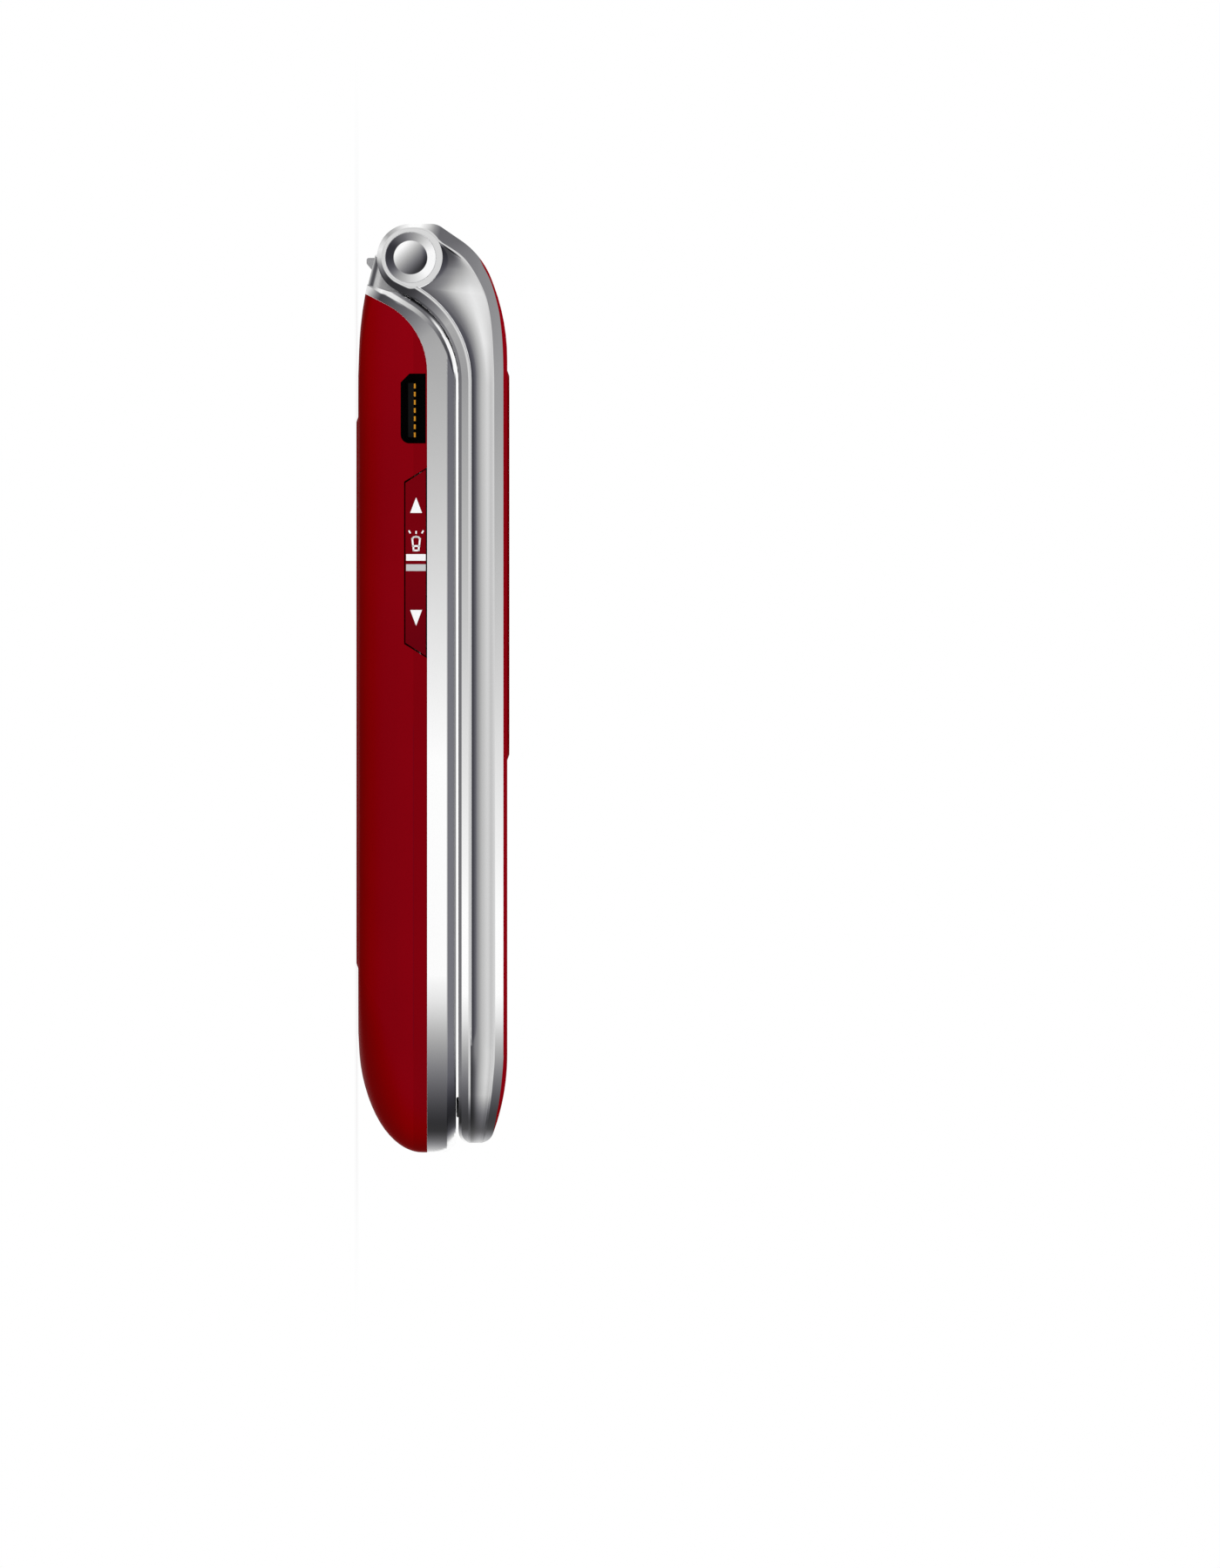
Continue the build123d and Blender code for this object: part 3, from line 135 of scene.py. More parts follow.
def linear(red, green, blue):
    """Linear colour of a screen colour given in 0 to 255."""
    parts = []
    for value in (red, green, blue):
        share = value / 255
        parts.append(share / 12.92 if share <= 0.04045 else ((share + 0.055) / 1.055) ** 2.4)
    return (*parts, 1.0)


def finish(name, **fixed):
    """New material, its Principled shader with the fixed sockets set, and a pen for more nodes."""
    material = bpy.data.materials.new(name)
    material.use_nodes = True
    shader = material.node_tree.nodes["Principled BSDF"]
    for socket, value in fixed.items():
        shader.inputs[socket.replace("_", " ")].default_value = value
    return material, shader.inputs, Shade(material.node_tree)


def place(pen):
    """Object coordinates in metres."""
    return pen.node("ShaderNodeTexCoord", output="Object")


def axes(pen, where):
    """The three coordinates, in millimetres."""
    split = [pen.node("ShaderNodeSeparateXYZ", inputs={0: where}, output=axis) for axis in range(3)]
    return [value * 1000.0 for value in split]


def grain(pen, where, scale, detail=2.0):
    """Even noise round one half."""
    return pen.node("ShaderNodeTexNoise", inputs={"Vector": where, "Scale": scale, "Detail": detail})


def bump(pen, inputs, height, distance, strength=1.0):
    """Gives the shader a faint relief, in metres."""
    made = pen.node("ShaderNodeBump", inputs={"Strength": strength, "Distance": distance, "Height": height})
    made.feeds(inputs["Normal"])


# ---------------------------------------------------------------- finishes

def red_lacquer(settings, name="red lacquer", rocker=False):
    """Deep red lacquer over fine metal flake. Painted light makes the curl towards the back lighter and
    bluer, against the shade that falls there, and painted shade makes a strip on the flat side wall along the
    seam with the trim a little darker. On the rocker the red is darker, with painted shade growing towards
    its lower end.
    """
    material, inputs, pen = finish(name, Metallic=0.96, Specular_IOR_Level=0.02, Coat_Weight=0.0)
    red = settings.lacquer
    inputs["Specular Tint"].default_value = (red[0] * 1.7, red[1] * 1.5, red[2] * 2.6, 1.0)
    where = place(pen)
    _, y, z = axes(pen, where)
    flake = grain(pen, where, 9000.0).ease(0.35, 0.7)
    cloud = grain(pen, where, 60.0).ease(0.3, 0.7)
    deep = (red[0] * 0.93, red[1], red[2] * 0.93, 1.0)
    lively = (red[0] * 1.09, red[1] * 1.2, red[2] * 1.09, 1.0)
    body = (flake * 0.35 + cloud * 0.65).between(deep, lively)
    # Painted light: lighter and bluer where the back curls under, lifting the shade that falls there
    body = tint(pen, body, z.ease(0.4, 2.6), (1.06, 1.0, 1.3, 1.0), WHITE)
    if rocker:
        # Painted shade: darker towards the rocker's lower end, which faces away from the light
        body = tint(pen, body, y.ease(-6.0, 21.0), (0.5, 1.2, 1.0, 1.0), (0.76, 1.2, 0.95, 1.0))
    else:
        # A little lighter towards the hinge end
        body = tint(pen, body, y.ease(20.0, 40.0), WHITE, (1.12, 1.1, 1.1, 1.0))
        # Painted shade: a darker strip on the flat side wall along the seam with the trim
        strip = z.ease(6.38, 6.5) * (z < 8.3)
        body = tint(pen, body, strip, WHITE, (0.9, 0.9, 0.9, 1.0))
        groove = z.ease(6.36, 6.42) * (1.0 - z.ease(6.46, 6.52))
        groove = groove * y.ease(-41.0, -40.0) * (1.0 - y.ease(-5.0, -3.5))
        body = tint(pen, body, groove, WHITE, (0.8, 1.6, 1.5, 1.0))
    body.feeds(inputs["Base Color"])
    (0.34 + cloud * 0.06 + flake * 0.03).feeds(inputs["Roughness"])
    bump(pen, inputs, grain(pen, where, 2500.0), 0.000002, 0.3)
    return material


def tint(pen, colour, share, dark, light):
    """A colour multiplied by one between two others."""
    return multiplied(pen, colour, share.between(dark, light))


def multiplied(pen, first, second):
    """Two colours multiplied."""
    settings = {"data_type": "RGBA", "blend_type": "MULTIPLY"}
    return pen.node("ShaderNodeMix", settings, {0: 1.0, 6: first, 7: second}, output=2)


def polish(pen, inputs, rough):
    """Faint unevenness of a polished moulding, in its gloss and surface. Gives the slow part of it."""
    where = place(pen)
    cloud, fine = grain(pen, where, 45.0, 3.0), grain(pen, where, 4000.0)
    (rough + cloud * 0.04 + fine * 0.02).feeds(inputs["Roughness"])
    bump(pen, inputs, fine, 0.000001, 0.25)
    return cloud


def bright_plating(settings):
    """Satin bright plating."""
    material, inputs, pen = finish("bright plating", Metallic=1.0)
    silver = tuple(settings.plating[:3])
    low = tuple(value * 0.95 for value in silver)
    polish(pen, inputs, 0.17).between((*low, 1.0), (*silver, 1.0)).feeds(inputs["Base Color"])
    return material


def plating_painted_reflections():
    """The same plating on the side faces, with painted reflections and shade: each strip has its own painted
    grey, and the darker greys a bluish tint as painted dark reflections.
    """
    material, inputs, pen = finish("plating with painted reflections", Metallic=1.0)
    own = held_tone(pen)
    dark_reflection_tint = own.ease(0.0, 0.45).between((0.97, 0.96, 1.06, 1.0), WHITE)
    lit = own * (0.97 + polish(pen, inputs, 0.16) * 0.06)
    multiplied(pen, dark_reflection_tint, grey(pen, lit)).feeds(inputs["Base Color"])
    return material


def held_tone(pen):
    """The grey that a drawn mesh holds at each point: painted reflection and shade on the plating skins, the
    print's own grey on printed marks.
    """
    return pen.node("ShaderNodeAttribute", {"attribute_name": "tone"}, output="Fac")


def grey(pen, value):
    """Grey colour from one value."""
    return pen.node("ShaderNodeCombineColor", inputs={0: value, 1: value, 2: value})


def plain(name, colour, rough, depth=0.000004, spread=0.12, **fixed):
    """Moulded finish with a fine grain that breaks up its colour, gloss and surface."""
    material, inputs, pen = finish(name, **fixed)
    where = place(pen)
    speck = grain(pen, where, 3000.0)
    cloud = grain(pen, where, 80.0)
    low = tuple(value * (1 - spread) for value in colour[:3]) + (1.0,)
    high = tuple(min(value * (1 + spread), 1.0) for value in colour[:3]) + (1.0,)
    (speck * 0.5 + cloud * 0.5).between(low, high).feeds(inputs["Base Color"])
    (rough + cloud * 0.08 - 0.04).feeds(inputs["Roughness"])
    bump(pen, inputs, speck, depth, 0.5)
    return material


def circuit_board():
    """Green solder mask with copper tracks showing as paler lines."""
    material, inputs, pen = finish("solder mask", Coat_Weight=0.3, Coat_Roughness=0.2)
    where = place(pen)
    settings = {"feature": "DISTANCE_TO_EDGE", "distance": "CHEBYCHEV"}
    cells = pen.node("ShaderNodeTexVoronoi", settings, {"Vector": where, "Scale": 420.0})
    track = cells.ease(0.05, 0.02)
    track.between((0.01, 0.11, 0.05, 1), (0.03, 0.26, 0.12, 1)).feeds(inputs["Base Color"])
    (0.38 - track * 0.1).feeds(inputs["Roughness"])
    bump(pen, inputs, track, 0.00003)
    return material


def battery_wrap():
    """Dark wrapped cell with a pale band at the end by its contacts."""
    material, inputs, pen = finish("battery wrap")
    where = place(pen)
    _, y, _ = axes(pen, where)
    speck = grain(pen, where, 1500.0)
    wrap = speck.between((0.07, 0.075, 0.09, 1), (0.10, 0.105, 0.12, 1))
    y.ease(15.0, 15.4).between(wrap, (0.55, 0.56, 0.58, 1)).feeds(inputs["Base Color"])
    (0.48 + speck * 0.1).feeds(inputs["Roughness"])
    bump(pen, inputs, speck, 0.00001, 0.4)
    return material


def make_finishes(settings):
    """One material for each finish in the record."""
    return {
        "red_paint": red_lacquer(settings),
        "red_rocker_painted_shade": red_lacquer(settings, "red rocker with painted shade", rocker=True),
        "bright_trim": bright_plating(settings),
        "plating_painted_reflections": plating_painted_reflections(),
        "print_paint": print_paint(),
        "call_green": plain("green print", (0.02, 0.45, 0.06), 0.45),
        "end_red": plain("red print", (0.6, 0.02, 0.02), 0.45),
        "black_gloss": plain("piano black", (0.012, 0.012, 0.014), 0.1, spread=0.2, Coat_Weight=0.5),
        "key_black": plain("soft black keys", (0.02, 0.02, 0.022), 0.5, depth=0.00001),
        "black_plastic": plain("moulded black", (0.012, 0.012, 0.013), 0.45),
        "port_black": plain("port black", (0.0015, 0.0012, 0.0012), 0.6, Specular_IOR_Level=0.12),
        "grey_rubber": plain("silicone", (0.35, 0.35, 0.36), 0.65, depth=0.00001),
        "black_rubber": plain("black rubber", (0.008, 0.008, 0.008), 0.7, depth=0.00002),
        "clear_film": plain("dome film", (0.7, 0.71, 0.73), 0.25, Metallic=0.4),
        "clear_plastic": plain("smoked lens", (0.42, 0.42, 0.43), 0.22, Metallic=0.6),
        "flex_film": plain("amber film", (0.45, 0.22, 0.05), 0.3),
        "board": circuit_board(),
        "battery_label": battery_wrap(),
        "display": plain("display face", (0.012, 0.013, 0.016), 0.2),
        "screen_glass": plain("dark window", (0.006, 0.006, 0.008), 0.06, spread=0.3, Coat_Weight=1.0),
        "gold": plain("gold plate", linear(214, 146, 30), 0.28, Metallic=0.75),
        "steel": plain("plain steel", (0.55, 0.55, 0.56), 0.3, Metallic=1.0),
    }


# Parts that don't look quite like the rest of their slot
OWN_FINISH = {"volume_rocker": "red_rocker_painted_shade", "io_port": "port_black"}


def dress_nodes(finishes):
    """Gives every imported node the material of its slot."""
    for part in frame["record"]["subparts"]:
        node = NODES[part["node"]]
        kind = OWN_FINISH.get(part["node"], part["material_slot"])
        for slot in node.material_slots:
            slot.material = finishes[kind]


# ---------------------------------------------------------------- side lines, in millimetres

# The lid's lower edge: straight, then a bend, then a slope that runs onto the hinge knuckle
BEND, BEND_R = (34.84, 0.76), 10.8
SLOPE_TURN = 58.0
SLOPE = math.radians(SLOPE_TURN)
SLOPE_FROM = (44.0, 6.48)
KNUCKLE_R, NECK_R = 3.8, 4.0
CROWN, CROWN_R, CROWN_TURN = (42.873, 6.505), 9.4, 55.6
HEAD, PEAK_R = 52.5, 2.0
PEAK = (HEAD - PEAK_R, 8.461)
# The plan's foot ends and their round corners
LID_FOOT, BASE_FOOT, CORNER_R = -51.4, -52.4, 14.0
# The hollow in the lid's side, and the point where it meets the hinge ring and the neck
COVE_LOW, COVE_HIGH, COVE_BEND_R, COVE_DEPTH = 12.9, 15.45, BEND_R + 1.32, 0.42
JUNCTION = (45.38, 6.756)
# Steps round a foot corner and round the hinge ring, and how far a skin stands out
FOOT_STEPS, RING_STEPS, SKIN = 46, 96, 0.02


def around(centre, reach, angle):
    """Point (y, z) at a distance from a centre. Angles are in degrees, from +Z towards +Y."""
    turn = math.radians(angle)
    return (centre[0] + reach * math.sin(turn), centre[1] + reach * math.cos(turn))


def arc(centre, radius, start, stop, count=24):
    """Points round a centre. The radius may change on the way."""
    first, last = radius if isinstance(radius, tuple) else (radius, radius)
    made = []
    for step in range(count + 1):
        share = step / count
        made.append(around(centre, first + (last - first) * share, start + (stop - start) * share))
    return made


def between(a, b, share):
    """Point at a share of the way from one point to another."""
    return (a[0] + (b[0] - a[0]) * share, a[1] + (b[1] - a[1]) * share)


def smooth(points, count=12):
    """Even curve through points, with straight neighbours kept straight."""
    ends = [points[0], *points, points[-1]]
    made = []
    for a, b, c, d in zip(ends, ends[1:], ends[2:], ends[3:]):
        for step in range(count):
            t = step / count
            made.append(tuple(
                0.5 * (2 * q + (r - p) * t + (2 * p - 5 * q + 4 * r - w) * t ** 2
                       + (3 * q - p - 3 * r + w) * t ** 3)
                for p, q, r, w in zip(a, b, c, d)
            ))
    return [*made, points[-1]]


def evenly(points, count):
    """The same line with a given number of equal steps."""
    lengths = [0.0]
    for a, b in zip(points, points[1:]):
        lengths.append(lengths[-1] + math.dist(a, b))
    made, spot = [], 0
    for step in range(count + 1):
        want = lengths[-1] * step / count
        while spot < len(points) - 2 and lengths[spot + 1] < want:
            spot += 1
        gap = lengths[spot + 1] - lengths[spot]
        made.append(between(points[spot], points[spot + 1], (want - lengths[spot]) / gap if gap else 0.0))
    return made


def level(value, stops):
    """Value read off a list of (place, value) pairs, straight between them."""
    if value <= stops[0][0]:
        return stops[0][1]
    for (a, low), (b, high) in zip(stops, stops[1:]):
        if value <= b:
            return low + (high - low) * (value - a) / (b - a)
    return stops[-1][1]


def stations(sections):
    """Steps along pairs of lines: the pair's number, the share of its length, and a point on each line."""
    for number, (first, second, count) in enumerate(sections):
        first, second = evenly(first, count), evenly(second, count)
        for step in range(1 if number else 0, count + 1):
            yield number, step / count, first[step], second[step]


def foot_turn(along, foot):
    """Angle round the plan corner that a place along the unrolled side has reached."""
    start = foot + CORNER_R
    return min(max((start - along) / CORNER_R, 0.0), math.pi / 2)


def true_y(along, foot):
    """Real y of a place along the unrolled side, which turns the corner and runs on across the foot."""
    turn = foot_turn(along, foot)
    return along if turn <= 0 else foot + CORNER_R * (1 - math.sin(turn))


def on_side(along, z, out, foot):
    """Point on the left side, corner or foot of the plan, standing out by a little."""
    turn = foot_turn(along, foot)
    if turn <= 0:
        return Vector((-HALF - out, along, z)) * MM
    centre_x, centre_y = -HALF + CORNER_R, foot + CORNER_R
    reach = CORNER_R + out
    x = centre_x - reach * math.cos(turn)
    y = centre_y - reach * math.sin(turn)
    past = centre_y - CORNER_R * math.pi / 2 - along
    return Vector((x + max(past, 0.0), y, z)) * MM


def unrolled_foot(foot):
    """Place along the unrolled side of the middle of the foot."""
    return foot + CORNER_R - CORNER_R * math.pi / 2 - (HALF - CORNER_R)


def foot_line(height, count=FOOT_STEPS):
    """Line from the middle of the lid's foot round its corner, at a height that depends on the real y."""
    ends = [(unrolled_foot(LID_FOOT), 0), (LID_FOOT + CORNER_R, 0)]
    return [(along, height(true_y(along, LID_FOOT))) for along, _ in evenly(ends, count)]


# ---------------------------------------------------------------- thin plated skins with painted reflections and shade

def tone(value):
    """Linear grey from a screen grey: painted reflection and shade on the plating skins, the print's own grey
    on printed marks.
    """
    return linear(value, value, value)[0]


def linked(name, data):
    """New object in the scene."""
    made = bpy.data.objects.new(name, data)
    bpy.context.collection.objects.link(made)
    return made


def finished(name, bm, material):
    """New object from a drawn mesh, with its faces turned outwards."""
    bmesh.ops.recalc_face_normals(bm, faces=bm.faces)
    mesh = bpy.data.meshes.new(name)
    bm.to_mesh(mesh)
    bm.free()
    mesh.materials.append(material)
    return linked(name, mesh)


def skin_mesh(name, sheets, material, sides=(1, -1)):
    """Closed thin shells on the sides of the phone. A sheet is rows of (point, inward step, tone)."""
    bm = bmesh.new()
    shade = bm.verts.layers.float.new("tone")
    for rows in sheets:
        for side in sides:
            shell(bm, shade, rows, side)
    return finished(name, bm, material)


def shell(bm, shade, rows, side):
    """One closed sheet: its face, its back and its rim. A sheet that ends where it began is a ring."""
    ring = (rows[0][0][0] - rows[-1][0][0]).length < 1e-7
    rows = rows[:-1] if ring else rows

    def vertex(point, value):
        made = bm.verts.new((point.x * side, point.y, point.z))
        made[shade] = value
        return made

    front = [[vertex(point, value) for point, _, value in row] for row in rows]
    back = [[vertex(point + step, value) for point, step, value in row] for row in rows]
    tall, wide = len(rows), len(rows[0])
    for i in range(tall if ring else tall - 1):
        k = (i + 1) % tall
        for j in range(wide - 1):
            bm.faces.new((front[i][j], front[k][j], front[k][j + 1], front[i][j + 1])).smooth = True
            bm.faces.new((back[i][j], back[i][j + 1], back[k][j + 1], back[k][j]))
    if ring:
        rims = [[(i, j) for i in range(tall)] for j in (0, wide - 1)]
    else:
        there = [(0, j) for j in range(wide)] + [(i, wide - 1) for i in range(1, tall)]
        home = [(tall - 1, j) for j in range(wide - 2, -1, -1)] + [(i, 0) for i in range(tall - 2, 0, -1)]
        rims = [there + home]
    for rim in rims:
        for (a, b), (c, d) in zip(rim, rim[1:] + rim[:1]):
            bm.faces.new((front[a][b], front[c][d], back[c][d], back[a][b]))
            bm.edges.get((front[a][b], front[c][d])).smooth = False


class Surface:
    """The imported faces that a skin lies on, found by looking straight at them from outside."""

    def __init__(self, name, foot, deepest=9.0):
        mesh = NODES[name].data
        points = [vertex.co for vertex in mesh.vertices]
        self.tree = BVHTree.FromPolygons(points, [face.vertices for face in mesh.polygons])
        self.foot, self.deepest = foot, deepest

    def point(self, spot, out, deep=0.06):
        """Point a little outside the faces, and the step to the skin's back inside them."""
        start, end = (on_side(*spot, reach, self.foot) for reach in (3.0, 0.0))
        inward = (end - start).normalized()
        hit = self.tree.ray_cast(start, inward)[0] or end
        if spot[0] > BEND[0] and (hit - end).length > self.deepest * MM:
            hit = end + inward * self.deepest * MM
        return hit - inward * out * MM, inward * (out + deep) * MM


# ---------------------------------------------------------------- faces of the lid frame

TOE_END = -50.1
LACQUER_FROM = -41.8
TOE_SEAM = [(TOE_END, 15.5), (-48.5, 15.8), (-48, 15.86), (-47.5, 15.97), (-47, 16.07), (-46, 16.21),
            (-45, 16.34), (-44, 16.44), (-43, 16.53), (LACQUER_FROM, PARTING)]


def lid_low(y):
    """Lower edge of the lid's side near its rounded foot."""
    return 12.86 - math.sqrt(max(1.3 ** 2 - max(TOE_END - y, 0.0) ** 2, 0.0))


def lid_outline(y):
    """Upper outline of the lid near its toe: flat, a wide blend, a short slope and the toe's round."""
    if y > -41.315:
        return LID_TOP
    if y > -49.474:
        return math.sqrt(26.0 ** 2 - (y + 41.315) ** 2) - 8.95
    if y > -50.234:
        return 15.486 + 0.3305 * (y + 50.234)
    return 13.871 + math.sqrt(max(1.7 ** 2 - (y + 49.7) ** 2, 0.0))


def lid_high(y):
    """Seam under the lid's cover, or the lid's own outline past the place where they meet."""
    return min(level(y, TOE_SEAM), lid_outline(y))


def cove_low(y):
    """Lower edge of the hollow round the foot."""
    return max(COVE_LOW, lid_low(y) + 0.04)


def cove_high(y):
    """Upper edge of the hollow round the foot."""
    return level(y, [(-51.4, 14.2), (-48.5, 14.7), (-45.3, 15.1), (-42.2, 15.38), (-39.1, COVE_HIGH)])


def cove_opening():
    """Upper edge of the hollow by the hinge, from the ring to the straight."""
    return evenly(smooth([(50.5, 9.25), (48.84, 11.61), (47.06, 13.13), (44.86, 14.31), (42.84, 14.9),
                          (40.13, 15.24), (36.4, 15.41), (34.0, COVE_HIGH)]), 60)


def on_slope(down, gap):
    """Point at a distance down the lid's slope and a gap off it."""
    return (SLOPE_FROM[0] + down * math.cos(SLOPE) + gap * math.sin(SLOPE),
            SLOPE_FROM[1] - down * math.sin(SLOPE) + gap * math.cos(SLOPE))


# Painted reflections and shade on the plating along the phone, as pairs of y and screen grey: dark where the
# foot turns away, and bright on the lips as painted highlights
STRIP_TONES = [(-51.8, 190), (-51.2, 165), (-49.8, 42), (-48, 60), (-35.8, 255), (-26, 255), (0, 214),
               (36, 155)]
BASE_TONES = [(-52.3, 160), (-51, 76), (-50, 36), (-49, 46), (-33.5, 253), (-8, 255), (35, 176)]
BEVEL_TONES = [(-51.4, 175), (-51, 116), (-50, 36), (-49, 14), (-44, 93), (-40, 117), (10, 118), (34, 107)]
CHAMFER_TONES = [(-51, 245), (-49, 14), (-46, 92), (-44, 117), (34, 114)]
LIP_TONES = [(-51.3, 150), (-50.4, 62), (-49, 55), (-48, 85), (-46, 190), (-44, 212)]
# Painted shade and reflection across the lid's hollow, as greys from its lower edge: along the straight, and
# where the bend opens it out
COVE_TONES = [(0, 86), (0.05, 72), (0.2, 126), (0.34, 148), (0.46, 181), (0.7, 214), (0.78, 215), (0.92, 196),
              (1, 215)]
LADLE_TONES = [(0, 112), (0.25, 112), (0.5, 177), (0.75, 240), (1, 210)]
# The hollow by the hinge, from the ring down to the bend, in painted shade and reflection: its grey inside,
# its grey at the outer edge, and how late across it brightens
INNER_TONES = [(0, 190), (0.06, 150), (0.12, 66), (0.25, 72), (0.5, 104), (0.65, 116), (0.8, 108), (1, 84)]
OUTER_TONES = [(0, 130), (0.1, 95), (0.2, 180), (0.3, 215), (0.5, 208), (1, 238)]
LATE = [(0, 1), (0.12, 6), (0.3, 6), (0.38, 3), (0.5, 1.4)]


def lid_band_sections():
    """Matching stretches of the lid's outline and of the hollow's edge, once round from foot to foot.

    Each has its outer line, its inner line, steps, and the greys and widths of its dark edge and flat, in
    painted reflection and shade."""
    corner = LID_FOOT + CORNER_R
    opening = cove_opening()
    neck = [JUNCTION, around(HINGE, 3.36, -90), around(HINGE, 3.16, -100), around(HINGE, 3.06, -110),
            around(HINGE, 3.05, -122)]
    crown = arc(CROWN, CROWN_R, CROWN_TURN, 38.5, 12)
    seam = evenly(smooth([crown[-1], (47.75, 14.3), (47, 14.7), (46, 15.16), (45, 15.5), (44, 15.78),
                          (43, 16.02), (42, 16.2), (40, 16.43), (38, 16.55), (36, PARTING)]), 40)
    slope_start = [on_slope(0, -0.02), on_slope(0.7, -0.05)]
    slope_end = [slope_start[1], on_slope(1.4, -0.13), on_slope(2.0, -0.2), on_slope(2.79, -0.2)]
    bend_end = around(BEND, COVE_BEND_R, SLOPE_TURN)
    even = (0.1, 0.1)
    return [
        (foot_line(lid_low), foot_line(cove_low), FOOT_STEPS, CHAMFER_TONES, STRIP_TONES, (0.3, 0.34)),
        ([(corner, UNDER), (BEND[0], UNDER)], [(corner, COVE_LOW), (BEND[0], COVE_LOW)], 24,
         CHAMFER_TONES, STRIP_TONES, (0.34, 0.34)),
        (arc(BEND, BEND_R, 0, 32), arc(BEND, COVE_BEND_R, 0, 32), 16, (112, 132), (155, 168), (0.34, 0.3)),
        (arc(BEND, BEND_R, 32, SLOPE_TURN), arc(BEND, COVE_BEND_R, 32, SLOPE_TURN), 16, (128, 60), (180, 76),
         (0.3, 0.2)),
        (slope_start, [bend_end, JUNCTION], 4, (40, 48), (72, 62), (0.12, 0.1)),
        (slope_end, neck, 10, (48, 53, 53, 53), (62, 54, 53, 53), even),
        (arc(HINGE, (NECK_R, 3.95), -122, -135, 6), arc(HINGE, (3.06, 3.07), -122, -135, 6), 6,
         (53, 52), (53, 52), even),
        (arc(HINGE, (3.95, KNUCKLE_R), -135, -165), arc(HINGE, (3.07, 3.13), -135, -165), 12,
         (52, 56, 92, 135), (52, 78, 108, 142), (0.1, 0.2)),
        (arc(HINGE, KNUCKLE_R, -165, -210), arc(HINGE, (3.13, 3.15), -165, -210), 12,
         (118, 212, 236, 214), (142, 212, 236, 214), (0.2, 0.1)),
        (arc(HINGE, KNUCKLE_R, -210, -225), arc(HINGE, (3.15, 3.2), -210, -225), 6,
         (214, 158), (214, 165), even),
        (arc(HINGE, KNUCKLE_R, -225, -270), arc(HINGE, (3.2, 3.25), -225, -270), 12,
         (158, 186, 229, 255), (165, 189, 230, 255), even),
        ([(HEAD, HINGE[1]), (HEAD, PEAK[1])], arc(HINGE, (3.25, 3.45), 90, 60), 8,
         (255, 255, 208), (255, 255, 208), even),
        (arc(PEAK, PEAK_R, 90, CROWN_TURN, 10), arc(HINGE, (3.45, 3.6), 60, 30), 10,
         (208, 147, 104), (208, 147, 104), even),
        (crown, opening[:21], 20, (104, 122, 132), (106, 124, 134), even),
        (seam[:21], opening[20:41], 20, (132, 146), (136, 146), even),
        (seam[20:], opening[40:], 20, (146, 155), (146, 158), even),
        ([(36.0, PARTING), (corner, PARTING)], [(34.0, COVE_HIGH), (corner, COVE_HIGH)], 24,
         STRIP_TONES, STRIP_TONES, even),
        (foot_line(lid_high)[::-1], foot_line(cove_high)[::-1], FOOT_STEPS,
         STRIP_TONES, STRIP_TONES, (0.1, 0.05)),
    ]


def shade_at(tones, share, y):
    """Grey at a station: by y from a list of stops, or by its share of the way along evenly spaced greys."""
    if isinstance(tones, list):
        return level(y, tones)
    return level(share * (len(tones) - 1), list(enumerate(tones)))


def lid_point(spot, out):
    """Point on the lid's side and the step to the skin's back."""
    point = on_side(*spot, out, LID_FOOT)
    return point, on_side(*spot, out - 0.07, LID_FOOT) - point


def band_rows():
    """Rows across the lid's band, in painted greys: a dark edge and a flat as painted reflection and shade,
    and a bright lip along the inner side as a painted highlight.
    """
    sections = lid_band_sections()
    rows = []
    for number, share, a, b in stations([section[:3] for section in sections]):
        edge, flat, widths = sections[number][3:]
        wide = max(math.dist(a, b), 0.02)
        dark = min(widths[0] + (widths[1] - widths[0]) * share, wide * 0.45)
        lip = min(0.24, wide * 0.24)
        y = true_y(a[0], LID_FOOT)
        low, high, bright = shade_at(edge, share, y), shade_at(flat, share, y), level(y, LIP_TONES)
        across = [(0.0, low), (dark - 0.03, low), (dark + 0.02, high), (wide * 0.5, high),
                  (wide - lip - 0.03, high), (wide - lip * 0.85, bright), (wide - lip * 0.15, bright),
                  (wide, bright * 0.7)]
        row, last = [], -1.0
        for reach, value in across:
            reach = min(max(reach, last + 0.002), wide) if wide > 0.1 else wide * len(row) / 7
            last = reach
            row.append((*lid_point(between(a, b, reach / wide), SKIN), tone(value)))
        rows.append(row)
    return rows


def cove_rows():
    """Rows across the hollow between the flat strips, from the hinge ring to the middle of the foot."""
    corner = LID_FOOT + CORNER_R
    opening = cove_opening()
    ring = [*arc(HINGE, (3.62, 3.57), 30, -30, 24), *arc(HINGE, (3.57, 3.4), -30, -72, 16)[1:]]
    sections = [
        (ring[:21], opening[:17], 20),
        ([*ring[20:], JUNCTION], opening[16:27], 20),
        ([JUNCTION, *arc(BEND, COVE_BEND_R + 0.02, SLOPE_TURN - 0.1, 0)], opening[26:], 40),
        ([(BEND[0], COVE_LOW), (corner, COVE_LOW)], [(34.0, COVE_HIGH), (corner, COVE_HIGH)], 24),
        (foot_line(cove_low)[::-1], foot_line(cove_high)[::-1], FOOT_STEPS),
    ]
    rows = []
    for number, share, a, b in stations(sections):
        y = true_y(a[0], LID_FOOT)
        room = math.cos(foot_turn(a[0], LID_FOOT)) * CORNER_R - (CORNER_R - 0.5)
        hollow = min(COVE_DEPTH * min(1.0, math.dist(a, b) / 1.6), max(room - 0.03, 0.0))
        row = []
        for part in range(17):
            v = part / 16 - 0.05 * math.sin(math.pi * part / 8)
            out = SKIN - hollow * 4 * v * (1 - v)
            row.append((*lid_point(between(a, b, v), out), tone(cove_tone(number, share, v, y))))
        rows.append(row)
    return rows


